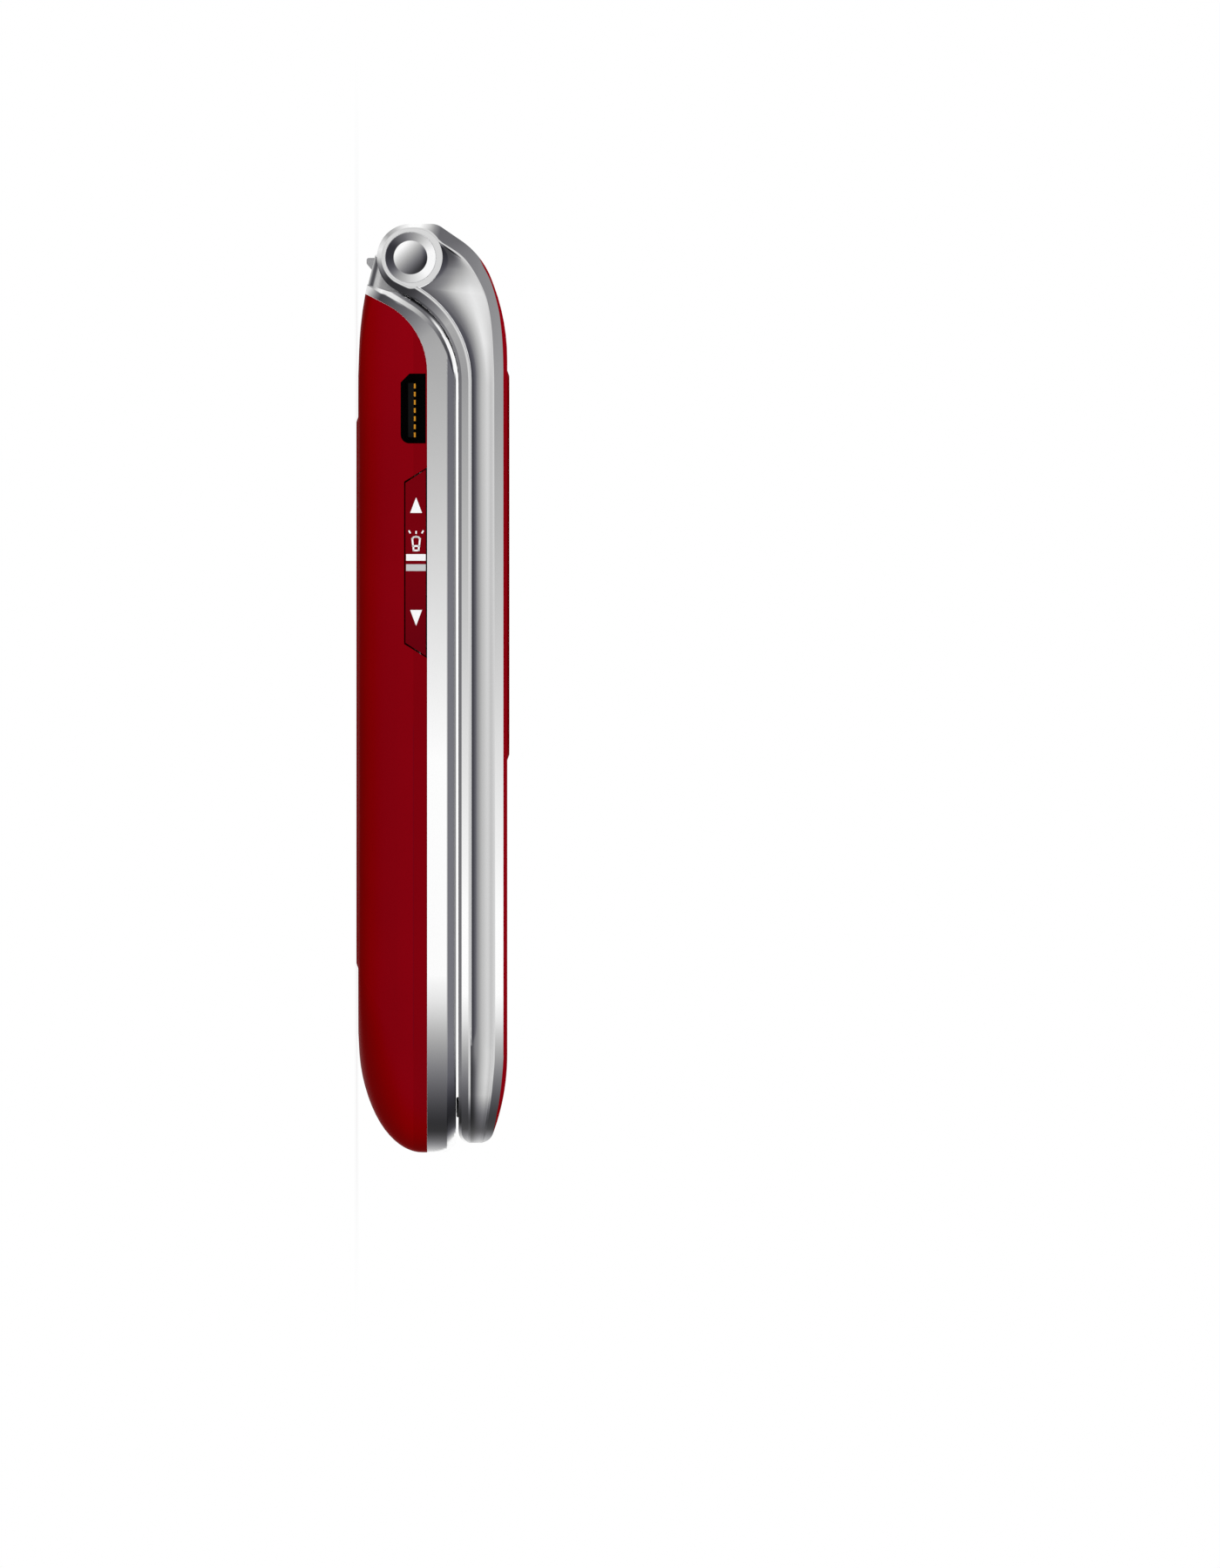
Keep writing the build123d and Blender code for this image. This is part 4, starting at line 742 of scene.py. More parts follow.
def cove_tone(number, share, v, y):
    """Painted grey in the hollow: painted shade under its inner edge, painted reflection brightening towards
    the outer one, darker round the foot corner.
    """
    straight, ladle = level(v, COVE_TONES), level(v, LADLE_TONES)
    rise = level(v, [(0, 0), (0.3, 0.28), (0.55, 0.78), (0.8, 1.0), (1, 0.93)])
    if number <= 1:
        station = (number + share) / 2
        late = v ** level(station, LATE)
        rise = late + (rise - late) * level(station, [(0.45, 0), (0.9, 1)])
        inner, outer = level(station, INNER_TONES), level(station, OUTER_TONES)
        return inner + (outer - inner) * rise
    if number == 2:
        near = 84 + 152 * rise
        near += (ladle - near) * level(share, [(0, 0), (0.4, 1)])
        return near + (straight - near) * level(share, [(0.55, 0), (1, 1)])
    fade = level(y, [(-51.2, 0.75), (-50, 0.3), (-48, 0.55), (-46, 0.95), (-44, 1.0)])
    shallow = level(y, [(-43, 1), (-41, 0)]) * level(v, [(0.2, 0.24), (0.32, 0)])
    return straight * fade * (1 - shallow)


def ring_rows():
    """Rows across the flat ring round the hinge cap. Its outer edge comes in where the neck joins it."""
    edge = [(0, 3.61), (30, 3.61), (60, 3.44), (90, 3.24), (150, 3.14), (195, 3.12), (225, 3.06), (238, 3.04),
            (250, 3.05), (260, 3.15), (270, 3.35), (281, 3.37), (300, 3.49), (330, 3.56), (360, 3.61)]
    rows = []
    for step in range(RING_STEPS + 1):
        angle = 360 * step / RING_STEPS
        pair = around(HINGE, 2.9, angle), around(HINGE, level(angle, edge), angle)
        rows.append([(*lid_point(spot, SKIN), tone(215)) for spot in pair])
    return rows


def toe_rows():
    """Rows of the cover's lacquer round the foot corners, from its seam up to the lid's outline."""
    lines = zip(foot_line(lid_high, 240), foot_line(lid_outline, 240))
    rows = []
    for low, high in lines:
        top = (high[0], high[1] - 0.01)
        if TOE_END < true_y(low[0], LID_FOOT) < LACQUER_FROM + 0.2 and top[1] > low[1]:
            rows.append([(*lid_point(between(low, top, part / 3), 0.03), 1.0) for part in range(4)])
    return rows


def lid_skins(finishes):
    """Plated faces of the lid frame in painted reflections and shade: dark edge, flat strips, bright lips and
    the hollow between them.
    """
    piece = skin_mesh("lid_frame_faces", [band_rows(), cove_rows(), ring_rows()], finishes["plating_painted_reflections"])
    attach(piece, "lid")
    piece = skin_mesh("lid_toe_lacquer", [toe_rows()], finishes["red_paint"])
    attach(piece, "lid")


# ---------------------------------------------------------------- faces of the base's trim

# The trim's lower edge over the red housing, and the ledge where it stands back from the lid's arm
SPLIT_BEND, SPLIT_BEND_R, SPLIT_TURN = (35.796, -0.57), 8.57, 62.5
LEDGE_FROM, LEDGE_TURN = (44.207, 5.601), 71.6
TRIM_END, TRIM_DEEPEST = 1.25, 0.45
CHAMFER_FROM = 10.24
# The overhead card dims the chamfer, so its grey is raised
CHAMFER_LIFT = 1.37
# Places of the trim's columns, in millimetres from the lid's edge
TRIM_STEPS = (0.0, 0.03, 0.1, 0.18, 0.25, 0.31, 0.37, 0.43, 0.49, 0.55, 0.61, 0.67, 0.73, 0.79, 0.85, 0.91,
              0.96, 1.01, 1.05, 1.1, 1.2, 1.28, 1.36, 1.44, 1.52, 1.6, 1.75)


def down_slope(start, turn, low):
    """Two ends of a line that runs down at an angle off the Y axis to a height."""
    return [start, (start[0] + (start[1] - low) / math.tan(math.radians(turn)), low)]


def lid_measure(y, z):
    """Place against the lid's lower edge: gap (below nought outside), degrees round the bend, way down."""
    if y <= BEND[0]:
        return z - UNDER, 0.0, 0.0
    turn = math.atan2(y - BEND[0], z - BEND[1])
    if turn <= SLOPE:
        return math.dist((y, z), BEND) - BEND_R, math.degrees(turn), 0.0
    dy, dz = y - SLOPE_FROM[0], z - SLOPE_FROM[1]
    gap = dy * math.sin(SLOPE) + dz * math.cos(SLOPE)
    return gap, SLOPE_TURN, dy * math.cos(SLOPE) - dz * math.sin(SLOPE)


def base_tone(y, z, along_y):
    """Painted grey of the base's trim: flat, chamfer and bright lip as painted reflections and highlight,
    which turn into strips on the slope.
    """
    gap, turn, down = lid_measure(y, z)
    return slope_tone(gap, down) if down > 0 else bend_tone(gap, turn, z, along_y)


def slope_tone(gap, down):
    """Painted grey on the slope: the broad face, a light strip and a grey band as painted reflections, and
    the black gap by the lid as painted shadow.
    """
    main = level(down, [(0, 108), (3.3, 70), (3.6, 104), (4.8, 220), (5.4, 240)])
    light = level(down, [(0, 202), (1.8, 230), (3.2, 233), (3.6, 246), (4, 228), (5.2, 102)])
    band = level(down, [(0, 112), (2, 137), (4, 161), (4.8, 214)])
    rim = level(down, [(0, 78), (2, 110), (3, 148)])
    black = level(down, [(0, 17), (1, 22), (2, 53)])
    start = level(down, [(0, -1.2), (3, -1.29), (3.5, -1.42)])
    return level(gap, [(start - 0.04, main), (start + 0.04, light), (-0.73, light), (-0.63, band),
                       (-0.42, band), (-0.32, rim), (-0.25, black)])


def bend_tone(gap, turn, z, along_y):
    """Painted grey of the trim along its straight and round its bend: painted reflections, a painted
    highlight on the lip and painted shadow at the gap by the lid.
    """
    face, chamfer = level(along_y, BASE_TONES), level(along_y, BEVEL_TONES)
    main = face + (level(turn, [(24, 170), (35, 164), (58, 108)]) - face) * level(turn, [(0, 0), (24, 1)])
    body = level(z, [(CHAMFER_FROM - 0.05, main), (CHAMFER_FROM + 0.05, chamfer)]) if turn < 27 else main
    strip = level(turn, [(3, 100), (8, 58), (24, 80), (58, 202)])
    strip = chamfer + (strip - chamfer) * level(turn, [(0, 0), (4, 1)])
    lip = level(turn, [(0, 118), (5, 252), (36, 252), (40, 215), (44, 130), (48, 104), (58, 112)])
    rim = level(turn, [(0, 118), (5, 252), (36, 236), (40, 195), (44, 117), (48, 76)])
    shadow = level(turn, [(26, 180), (36, 112), (44, 52), (52, 17)])
    after = level(turn, [(24, 90), (36, 133), (40, 100), (58, 111)]) if turn > 30 else lip
    start = level(turn, [(0, -0.5), (8, -0.72), (16, -0.86), (24, -0.94), (36, -1), (44, -1.15), (58, -1.2)])
    stop = level(turn, [(0, -0.4), (8, -0.54), (24, -0.56), (36, -0.59), (40, -0.68)])
    lip_from = level(turn, [(0, -0.4), (8, -0.54), (24, -0.55), (36, -0.55), (44, -0.44)])
    across = [(start - 0.04, body), (start + 0.04, strip), (stop - 0.03, strip), (stop + 0.03, after),
              (max(lip_from, stop) + 0.04, lip), (-0.31, rim), (-0.23, shadow)]
    value = level(gap, across) if turn else body
    if along_y < -50:
        value = level(along_y - foot_curve(z), [(-0.06, 255), (0.1, value)])
    edge = z > CHAMFER_FROM and (turn == 0 or gap < lip_from and turn < 27)
    return min(value * CHAMFER_LIFT, 255) if edge else value


def foot_curve(z):
    """Rounded end of the base's foot seen from the side, past which the trim is painted as pale as the
    background, a painted highlight.
    """
    share = min((z - SPLIT) / 3.3, 1.0)
    return -50.4 - 2.05 * math.sqrt(1 - share ** 2)


def ledge_share(a, b):
    """How far along a row, from the lid's slope down to the red housing, the trim's ledge lies."""
    down = lid_measure(*a)[2]
    if down < 1.8:
        return 0.0
    turn = math.radians(LEDGE_TURN)
    past = [(y - LEDGE_FROM[0]) * math.sin(turn) + (z - LEDGE_FROM[1]) * math.cos(turn) for y, z in (a, b)]
    past = [value - level(down, [(1.8, 0.3), (2.5, 0)]) for value in past]
    return past[0] / (past[0] - past[1]) if past[0] > 0 else 0.0


def trim_rows(surface):
    """Rows across the base's trim, from its rim down to the red housing."""
    middle, corner = unrolled_foot(BASE_FOOT), BASE_FOOT + CORNER_R
    low_bend = arc(SPLIT_BEND, SPLIT_BEND_R, 0, SPLIT_TURN, 40)
    low_end = evenly(down_slope(low_bend[-1], SPLIT_TURN, TRIM_END), 10)
    # The skin's upper edge reaches up into the gap below the lid's edge, where it carries painted shadow
    bent = [around(BEND, BEND_R + level(turn, [(24, -0.29), (36, -0.07)]), turn) for turn in range(59)]
    gap_shadow_edge = [on_slope(0.5, -0.09), on_slope(0.9, -0.13), on_slope(1.5, -0.19), on_slope(6.04, -0.2)]
    sections = [
        ([(middle, RIM), (corner, RIM)], [(middle, SPLIT), (corner, SPLIT)], FOOT_STEPS),
        ([(corner, RIM), (BEND[0], RIM)], [(corner, SPLIT), (BEND[0], SPLIT)], 24),
        (bent, [(BEND[0], SPLIT), *low_bend], 56),
        ([bent[-1], *gap_shadow_edge[:2]], low_end[:3], 6),
        (gap_shadow_edge[1:], low_end[2:], 30),
    ]
    return [trim_row(surface, a, b) for _, _, a, b in stations(sections)]


def trim_row(surface, a, b):
    """One row of the trim, from the lid's edge to the red housing, with close steps by the lid."""
    wide = math.dist(a, b)
    shares = [min(reach / wide, 0.9) for reach in TRIM_STEPS]
    last = shares[-1]
    shares += [last + (1 - last) * part / 4 if last > 0.5 else 0.4 + 0.15 * part for part in range(1, 5)]
    first = max(ledge_share(a, b), 0.004)
    held = level(lid_measure(*a)[1], [(2, 0.004), (6, 0.22 / wide), (24, 0.26 / wide)])
    row = []
    for number, share in enumerate(shares):
        share = min(max(share, first + 0.0004 * number), 0.998)
        spot = between(a, b, share)
        point, step = surface.point(between(a, b, max(share, held)), 0.03)
        if held > share:
            point.y, point.z = spot[0] * MM, spot[1] * MM
        row.append((point, step, tone(base_tone(*spot, true_y(spot[0], BASE_FOOT)))))
    return row


def web_rows():
    """Rows over the web between the trim's ledge and the hinge in painted reflection greys, with a dark line
    along the phone's back.
    """
    back, back_slope = (45.7, 1.32), 0.2455
    ledge = down_slope(LEDGE_FROM, LEDGE_TURN, 1.3)[::-1]
    outline = evenly([back, (49.06, 2.14), (48.9, 2.2), (47.6, 4.4), (45.3, 5.8), (44.3, 5.62)], 80)
    tones = [(0, 190), (0.12, 165), (0.22, 105), (0.42, 78), (0.56, 100), (0.7, 190), (1.05, 203), (1.5, 160)]
    rows = []
    for a, b in zip(evenly(ledge, 40), outline[16:]):
        row = []
        for part in range(17):
            y, z = between(a, b, part / 16)
            rise = z - back[1] - (y - back[0]) * back_slope
            row.append((Vector((-18.83, y, z)) * MM, Vector((0.06, 0, 0)) * MM, tone(level(rise, tones))))
        rows.append(row)
    return rows


def cap_rows(surface):
    """Rings over the hinge cap: painted shade at the upper left of its dish, a painted highlight at the upper
    left of its dome.
    """
    # Painted shade round the dish: darkest at the upper left, brightest at the lower right
    dish = [(-180, 78), (-150, 112), (-90, 207), (-45, 254), (18, 254), (45, 217), (110, 107), (150, 72),
            (180, 78)]
    rings = (0.01, 0.3, 0.6, 0.9, 1.2, 1.5, 1.7, 1.82, 1.88, 1.93, 1.98, 2.1, 2.25, 2.4, 2.55, 2.7, 2.78,
             2.84)
    rows = []
    for step in range(RING_STEPS + 1):
        angle = -180 + 360 * step / RING_STEPS
        row = []
        for reach in rings:
            # Painted highlight on the dome, brightest towards the upper left
            dome = 158 + 65 * reach * math.cos(math.radians(angle - 135))
            value = min(max(dome, 56), 255) if reach < 1.9 else level(angle, dish)
            if reach > 2.8:
                value = value * 0.6 + 215 * 0.4
            row.append((*surface.point(around(HINGE, reach, angle), SKIN), tone(value)))
        rows.append(row)
    return rows


def trim_skins(finishes):
    """Plated faces of the base's trim and of the web behind the hinge, in painted reflections and shade."""
    sheets = [trim_rows(Surface("base_frame", BASE_FOOT, TRIM_DEEPEST)), web_rows()]
    piece = skin_mesh("base_trim_faces", sheets, finishes["plating_painted_reflections"])
    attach(piece, "base")


def cap_skins(finishes):
    """Plated faces of the two hinge caps, with painted shade and highlights."""
    rows = cap_rows(Surface("hinge_caps", LID_FOOT))
    piece = skin_mesh("hinge_cap_faces", [rows], finishes["plating_painted_reflections"])
    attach(piece, "lid")


# ---------------------------------------------------------------- printed marks

def print_paint():
    """Printed marks, whose greys are held on the mesh."""
    material, inputs, pen = finish("printed marks", Specular_IOR_Level=0.2)
    speck = grain(pen, place(pen), 6000.0)
    grey(pen, held_tone(pen) * (0.97 + speck * 0.06)).feeds(inputs["Base Color"])
    (0.42 + speck * 0.1).feeds(inputs["Roughness"])
    return material


def patch(surface, corners, value, steps=6):
    """Printed patch on the left side: a grid between four corners (y, z), or three with one used twice."""
    a, b, c, d = corners
    rows = []
    for i in range(steps + 1):
        low, high = between(a, b, i / steps), between(d, c, i / steps)
        rows.append([(*surface.point(between(low, high, j / 2), 0.015, 0.03), tone(value)) for j in range(3)])
    return rows


def line_patches(surface, points, width):
    """A printed line through points (y, z), as one patch for each stretch."""
    made = []
    for a, b in zip(points, points[1:]):
        long = math.dist(a, b)
        dy, dz = (b[0] - a[0]) / long * width / 2, (b[1] - a[1]) / long * width / 2
        corners = [
            (a[0] - dy - dz, a[1] - dz + dy), (b[0] + dy - dz, b[1] + dz + dy),
            (b[0] + dy + dz, b[1] + dz - dy), (a[0] - dy + dz, a[1] - dz - dy),
        ]
        made.append(patch(surface, corners, 255, 2))
    return made


def rocker_marks(finishes):
    """Up and down marks, a torch mark and two bars on the side rocker."""
    surface = Surface("volume_rocker", BASE_FOOT)
    mid = 6.755
    sheets = []
    for foot, tip in ((19.86, 21.6), (8.9, 7.14)):
        corners = [(foot, mid - 0.67), (foot, mid + 0.67), (tip, mid + 0.012), (tip, mid - 0.012)]
        sheets.append(patch(surface, corners, 255))
    for low, high, value in ((14.46, 15.2, 250), (13.3, 14.06, 200)):
        sheets.append(patch(surface, [(low, 5.63), (low, 7.84), (high, 7.84), (high, 5.63)], value))
    head = [(16.12, mid - 0.35), (16.94, mid - 0.43), (17.12, mid - 0.25), (17.17, mid), (17.12, mid + 0.25),
            (16.94, mid + 0.43), (16.12, mid + 0.35)]
    body = [(16.12, mid - 0.3), (15.62, mid - 0.3), (15.62, mid + 0.3), (16.12, mid + 0.3)]
    rays = [[(17.62, mid - 0.68), (17.8, mid - 0.78)], [(17.58, mid), (17.74, mid)],
            [(17.62, mid + 0.68), (17.8, mid + 0.78)]]
    neck = [head[0], head[-1]]
    for points, width in ((head, 0.19), (neck, 0.2), (body, 0.19), *((ray, 0.17) for ray in rays)):
        sheets += line_patches(surface, points, width)
    piece = skin_mesh("rocker_marks", sheets, finishes["print_paint"], sides=(1,))
    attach(piece, "volume_rocker")


def middle(name):
    """Middle (x, y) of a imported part, and its top, in millimetres."""
    low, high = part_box(name)
    return (low.x + high.x) / 2 / MM, (low.y + high.y) / 2 / MM, high.z / MM


def prism(bm, corners, top, extra=0.0):
    """Thin printed solid over a flat outline (x, y) on a top face, raised by a little extra."""
    heights = (top - INK, top + INK + extra)
    rings = [[bm.verts.new((x * MM, y * MM, z * MM)) for x, y in corners] for z in heights]
    bm.faces.new(rings[0][::-1])
    bm.faces.new(rings[1])
    count = len(corners)
    for k in range(count):
        bm.faces.new((rings[0][k], rings[0][(k + 1) % count], rings[1][(k + 1) % count], rings[1][k]))


def lettering(bm, text, tall, x, y, top):
    """Adds letters as thin solids on a top face, centred on a spot."""
    curve = bpy.data.curves.new("letters", "FONT")
    curve.body = text
    curve.size = tall * MM * 1.4
    curve.align_x, curve.align_y = "CENTER", "CENTER"
    curve.resolution_u = 3
    holder = bpy.data.objects.new("letters", curve)
    flat = bpy.data.meshes.new_from_object(holder)
    flat.transform(Matrix.Translation((x * MM, y * MM, (top + INK) * MM)))
    start = len(bm.faces)
    bm.from_mesh(flat)
    bm.faces.ensure_lookup_table()
    faces = bm.faces[start:]
    bmesh.ops.remove_doubles(bm, verts=list({vertex for face in faces for vertex in face.verts}), dist=1e-7)
    bm.faces.ensure_lookup_table()
    faces = bm.faces[start:]
    made = bmesh.ops.extrude_face_region(bm, geom=faces, use_keep_orig=True)
    moved = [part for part in made["geom"] if isinstance(part, bmesh.types.BMVert)]
    bmesh.ops.translate(bm, verts=moved, vec=(0, 0, -2 * INK * MM))
    for made_data, group in ((flat, bpy.data.meshes), (holder, bpy.data.objects), (curve, bpy.data.curves)):
        group.remove(made_data)


def printed(name, body, material, draw, value=235):
    """One printed piece: draws into a mesh, gives every point the same grey and hands it to a body."""
    bm = bmesh.new()
    draw(bm)
    shade = bm.verts.layers.float.new("tone")
    for vertex in bm.verts:
        vertex[shade] = tone(value)
    piece = finished(name, bm, material)
    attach(piece, body)


# How far the print stands out of a key, and reaches into it
INK = 0.02
LETTERS = {
    "key_1": ("1", ""), "key_2": ("2", "ABC"), "key_3": ("3", "DEF"), "key_4": ("4", "GHI"),
    "key_5": ("5", "JKL"), "key_6": ("6", "MNO"), "key_7": ("7", "PQRS"), "key_8": ("8", "TUV"),
    "key_9": ("9", "WXYZ"), "key_star": ("*", ""), "key_0": ("0", "+"), "key_hash": ("#", ""),
}


def key_legends(finishes):
    """A figure and small letters on each number key, and plain marks on the others."""
    paint = finishes["print_paint"]
    for key, (figure, letters) in LETTERS.items():
        x, y, top = middle(key)

        def draw(bm):
            lettering(bm, figure, 4.3, x - (3.0 if letters else 0.0), y, top)
            if letters:
                lettering(bm, letters, 1.9, x + 2.4, y, top)

        printed(key + "_legend", key, paint, draw)
    x, y, top = middle("ok_key")
    printed("ok_legend", "ok_key", paint, lambda bm: lettering(bm, "OK", 2.1, x, y, top))
    for side, key in ((-1, "soft_left"), (1, "soft_right")):
        x, y, top = middle(key)
        bar = [(x - 2.2, y - 0.3), (x + 2.2, y - 0.3), (x + 2.2, y + 0.3), (x - 2.2, y + 0.3)]
        printed(key + "_legend", key, paint, lambda bm: prism(bm, bar, top))
    for key, hue in (("call_key", "call_green"), ("end_key", "end_red")):
        printed(key + "_legend", key, finishes[hue], handset(key))
    printed("nav_legend", "nav_ring", paint, nav_arrows, 40)


def handset(key):
    """Draws a plain handset: a curved bar with a block at each end, tipped over on the call key."""
    x, y, top = middle(key)
    tip = math.radians(0 if key == "end_key" else 35)

    def draw(bm):
        bar = arc((0, -1.9), 2.6, -52, 52, 13) + arc((0, -1.9), 1.8, 52, -52, 13)
        left = [(-2.3, -0.75), (-1.2, -0.95), (-1.15, 0.1), (-2.15, 0.1)]
        right = [(2.3, -0.75), (2.15, 0.1), (1.15, 0.1), (1.2, -0.95)]
        for count, outline in enumerate((bar, left, right)):
            prism(bm, turned(outline, tip, x, y), top, 0.002 * count)

    return draw


def turned(points, turn, x, y):
    """Flat points turned about nought and then moved to a spot."""
    cosine, sine = math.cos(turn), math.sin(turn)
    return [(x + u * cosine - v * sine, y + u * sine + v * cosine) for u, v in points]


def nav_arrows(bm):
    """A small arrowhead on each side of the navigation ring."""
    x, y, top = middle("nav_ring")
    for quarter in range(4):
        prism(bm, turned([(-0.9, 6.2), (0.9, 6.2), (0.0, 7.2)], math.pi / 2 * quarter, x, y), top)


# ---------------------------------------------------------------- repeated small parts

def scatter_tree(name, solid):
    """Geometry Nodes tree that sets a small solid on every point, sized by each point's own "size"."""
    tree = bpy.data.node_groups.new(name, "GeometryNodeTree")
    for label, way, kind in (("Points", "INPUT", "Geometry"), ("Size", "INPUT", "Float"),
                             ("Finish", "INPUT", "Material"), ("Solids", "OUTPUT", "Geometry")):
        tree.interface.new_socket(label, in_out=way, socket_type="NodeSocket" + kind)
    pen = Shade(tree)
    given = tree.nodes.new("NodeGroupInput")
    points, size, finish_in = (Shade(tree, socket) for socket in given.outputs[:3])
    own = pen.node("GeometryNodeInputNamedAttribute", {"data_type": "FLOAT_VECTOR"}, {"Name": "size"})
    scale = pen.node("ShaderNodeVectorMath", {"operation": "SCALE"}, {0: own, "Scale": size})
    shape = pen.node("GeometryNodeMeshCube") if solid == "box" else pen.node(
        "GeometryNodeMeshUVSphere", inputs={"Segments": 24, "Rings": 12, "Radius": 0.5})
    cloud = pen.node("GeometryNodeMeshToPoints", inputs={"Mesh": points})
    inputs = {"Points": cloud, "Instance": shape, "Scale": scale}
    spread = pen.node("GeometryNodeInstanceOnPoints", inputs=inputs)
    solid_mesh = pen.node("GeometryNodeRealizeInstances", inputs={0: spread})
    dressed = pen.node("GeometryNodeSetMaterial", inputs={"Geometry": solid_mesh, "Material": finish_in})
    tree.links.new(dressed.socket, tree.nodes.new("NodeGroupOutput").inputs[0])
    return tree


def scattered(name, body, material, solid, spots):
    """Plain mesh of one small solid at each spot: (x, y, z) and its three sizes, in millimetres."""
    seeds = bpy.data.meshes.new(name + " spots")
    seeds.from_pydata([spot for spot, _ in spots], [], [])
    sizes = seeds.attributes.new("size", "FLOAT_VECTOR", "POINT")
    sizes.data.foreach_set("vector", [value for _, size in spots for value in size])
    holder = linked(name + " holder", seeds)
    tree = scatter_tree(name, solid)
    modifier = holder.modifiers.new("scatter", "NODES")
    modifier.node_group = tree
    named = {item.name: item.identifier for item in tree.interface.items_tree if item.in_out == "INPUT"}
    modifier[named["Size"]] = 1.0
    modifier[named["Finish"]] = material
    ready = holder.evaluated_get(bpy.context.evaluated_depsgraph_get())
    mesh = bpy.data.meshes.new_from_object(ready)
    bpy.data.objects.remove(holder)
    mesh.transform(Matrix.Scale(MM, 4))
    mesh.name = name
    piece = linked(name, mesh)
    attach(piece, body)


def small_parts(finishes):
    """Key domes on their sheet, chips on the lid's board and the gauze over the earpiece."""
    keys = [*LETTERS, "ok_key", "soft_left", "soft_right", "call_key", "end_key"]
    spots = [middle(key)[:2] for key in keys] + [(0, 24.8), (0, 11.2), (6.8, 18), (-6.8, 18)]
    scattered("key_domes", "base", finishes["steel"], "ball",
              [((x, y, 7.28), (4.2, 4.2, 0.5)) for x, y in spots])
    draw = random.Random(7)
    chips = []
    for _ in range(70):
        x, y = draw.uniform(-20, 20), draw.uniform(-29, 26)
        wide, tall = draw.choice([(1.0, 0.5), (0.5, 1.0), (1.6, 0.8), (3.2, 3.2), (4.5, 3.0)])
        if all(abs(x - a[0][0]) > 3.6 or abs(y - a[0][1]) > 3.0 for a in chips):
            chips.append(((x, y, 14.0), (wide, tall, 0.3)))
    scattered("lid_board_chips", "lid", finishes["black_plastic"], "box", chips)
    holes = [((x * 0.5 - 3.5, y * 0.5 + 26.25, 12.6), (0.3, 0.3, 0.06)) for x in range(15) for y in range(4)]
    scattered("earpiece_gauze", "lid", finishes["steel"], "ball", holes)


# ---------------------------------------------------------------- stage

def studio_world(settings):
    """Even white surroundings, a little softer for the light they throw than for what is seen."""
    world = bpy.data.worlds.new("studio")
    pen = cleared(world)
    light = pen.node("ShaderNodeBackground", inputs={0: (0.97, 0.985, 1.0, 1.0), 1: settings.sky})
    white = pen.node("ShaderNodeBackground", inputs={0: WHITE, 1: 1.0})
    end_in_mix(pen, seen_rays(pen), light, white, "ShaderNodeOutputWorld")
    bpy.context.scene.world = world


def cleared(data):
    """Pen for the emptied node tree of a material or a world."""
    data.use_nodes = True
    data.node_tree.nodes.clear()
    return Shade(data.node_tree)


def end_in_mix(pen, share, first, second, output="ShaderNodeOutputMaterial"):
    """Ends a tree in a mix of two shaders."""
    mix = pen.node("ShaderNodeMixShader", inputs={0: share, 1: first, 2: second})
    mix.feeds(pen.tree.nodes.new(output).inputs[0])


def sheet(name, corners):
    """Flat object with four corners and an empty material of its own."""
    mesh = bpy.data.meshes.new(name)
    mesh.from_pydata(corners, [], [(0, 1, 2, 3)])
    mesh.materials.append(bpy.data.materials.new(name))
    return linked(name, mesh)


def seen_rays(pen):
    """1 for rays that show the background: straight from the camera, mirrored or through glass."""
    kinds = ("Is Camera Ray", "Is Glossy Ray", "Is Transmission Ray")
    camera, mirrored, through = (pen.node("ShaderNodeLightPath", output=kind) for kind in kinds)
    return pen.maths("MINIMUM", camera + mirrored + through, 1.0)


def pale_floor():
    """White floor that keeps a soft shadow under the phone."""
    reach = 3.0
    floor = sheet("floor", [(-reach, -reach, 0), (reach, -reach, 0), (reach, reach, 0), (-reach, reach, 0)])
    pen = cleared(floor.data.materials[0])
    matt = pen.node("ShaderNodeBsdfDiffuse", inputs={0: (0.85, 0.85, 0.85, 1.0)})
    lit = pen.node("ShaderNodeEmission", inputs={0: WHITE, 1: 1.0})
    x, y, _ = axes(pen, place(pen))
    away = pen.maths("MAXIMUM", pen.maths("ABSOLUTE", x) * 0.45, pen.maths("ABSOLUTE", y))
    end_in_mix(pen, seen_rays(pen) * (0.85 + away.ease(48.0, 75.0) * 0.15), matt, lit)


def overhead_card():
    """Grey card that shapes the bright trim: seen only in reflections, and fading out at three edges."""
    card = sheet("overhead card", [(-1.0, -1.6, 0.6), (1.0, -1.6, 0.6), (1.0, 1.0, 0.6), (-1.0, 1.0, 0.6)])
    layer = card.data.uv_layers.new(name="along")
    for loop, spot in zip(layer.data, [(0, 0), (1, 0), (1, 1), (0, 1)]):
        loop.uv = spot
    pen = cleared(card.data.materials[0])
    uv = pen.node("ShaderNodeUVMap", {"uv_map": "along"})
    u, v = (pen.node("ShaderNodeSeparateXYZ", inputs={0: uv}, output=axis) for axis in range(2))
    solid = u.ease(0.0, 0.12) * (1.0 - u.ease(0.88, 1.0)) * (1.0 - v.ease(0.7, 1.0))
    dark = pen.node("ShaderNodeEmission", inputs={0: (0.5, 0.5, 0.56, 1.0), 1: 1.0})
    end_in_mix(pen, solid, pen.node("ShaderNodeBsdfTransparent"), dark)
    card.visible_camera = card.visible_diffuse = card.visible_shadow = card.visible_transmission = False


def soft_lamp(name, spot, size, watts):
    """Square soft box aimed at the phone, kept out of its mirror images."""
    data = bpy.data.lights.new(name, "AREA")
    data.shape = "SQUARE"
    data.size = size
    data.energy = watts
    lamp = linked(name, data)
    aim = Vector((0, 0, 0.008)) - Vector(spot)
    lamp.matrix_world = Matrix.Translation(spot) @ aim.to_track_quat("-Z", "Y").to_matrix().to_4x4()
    lamp.visible_glossy = False


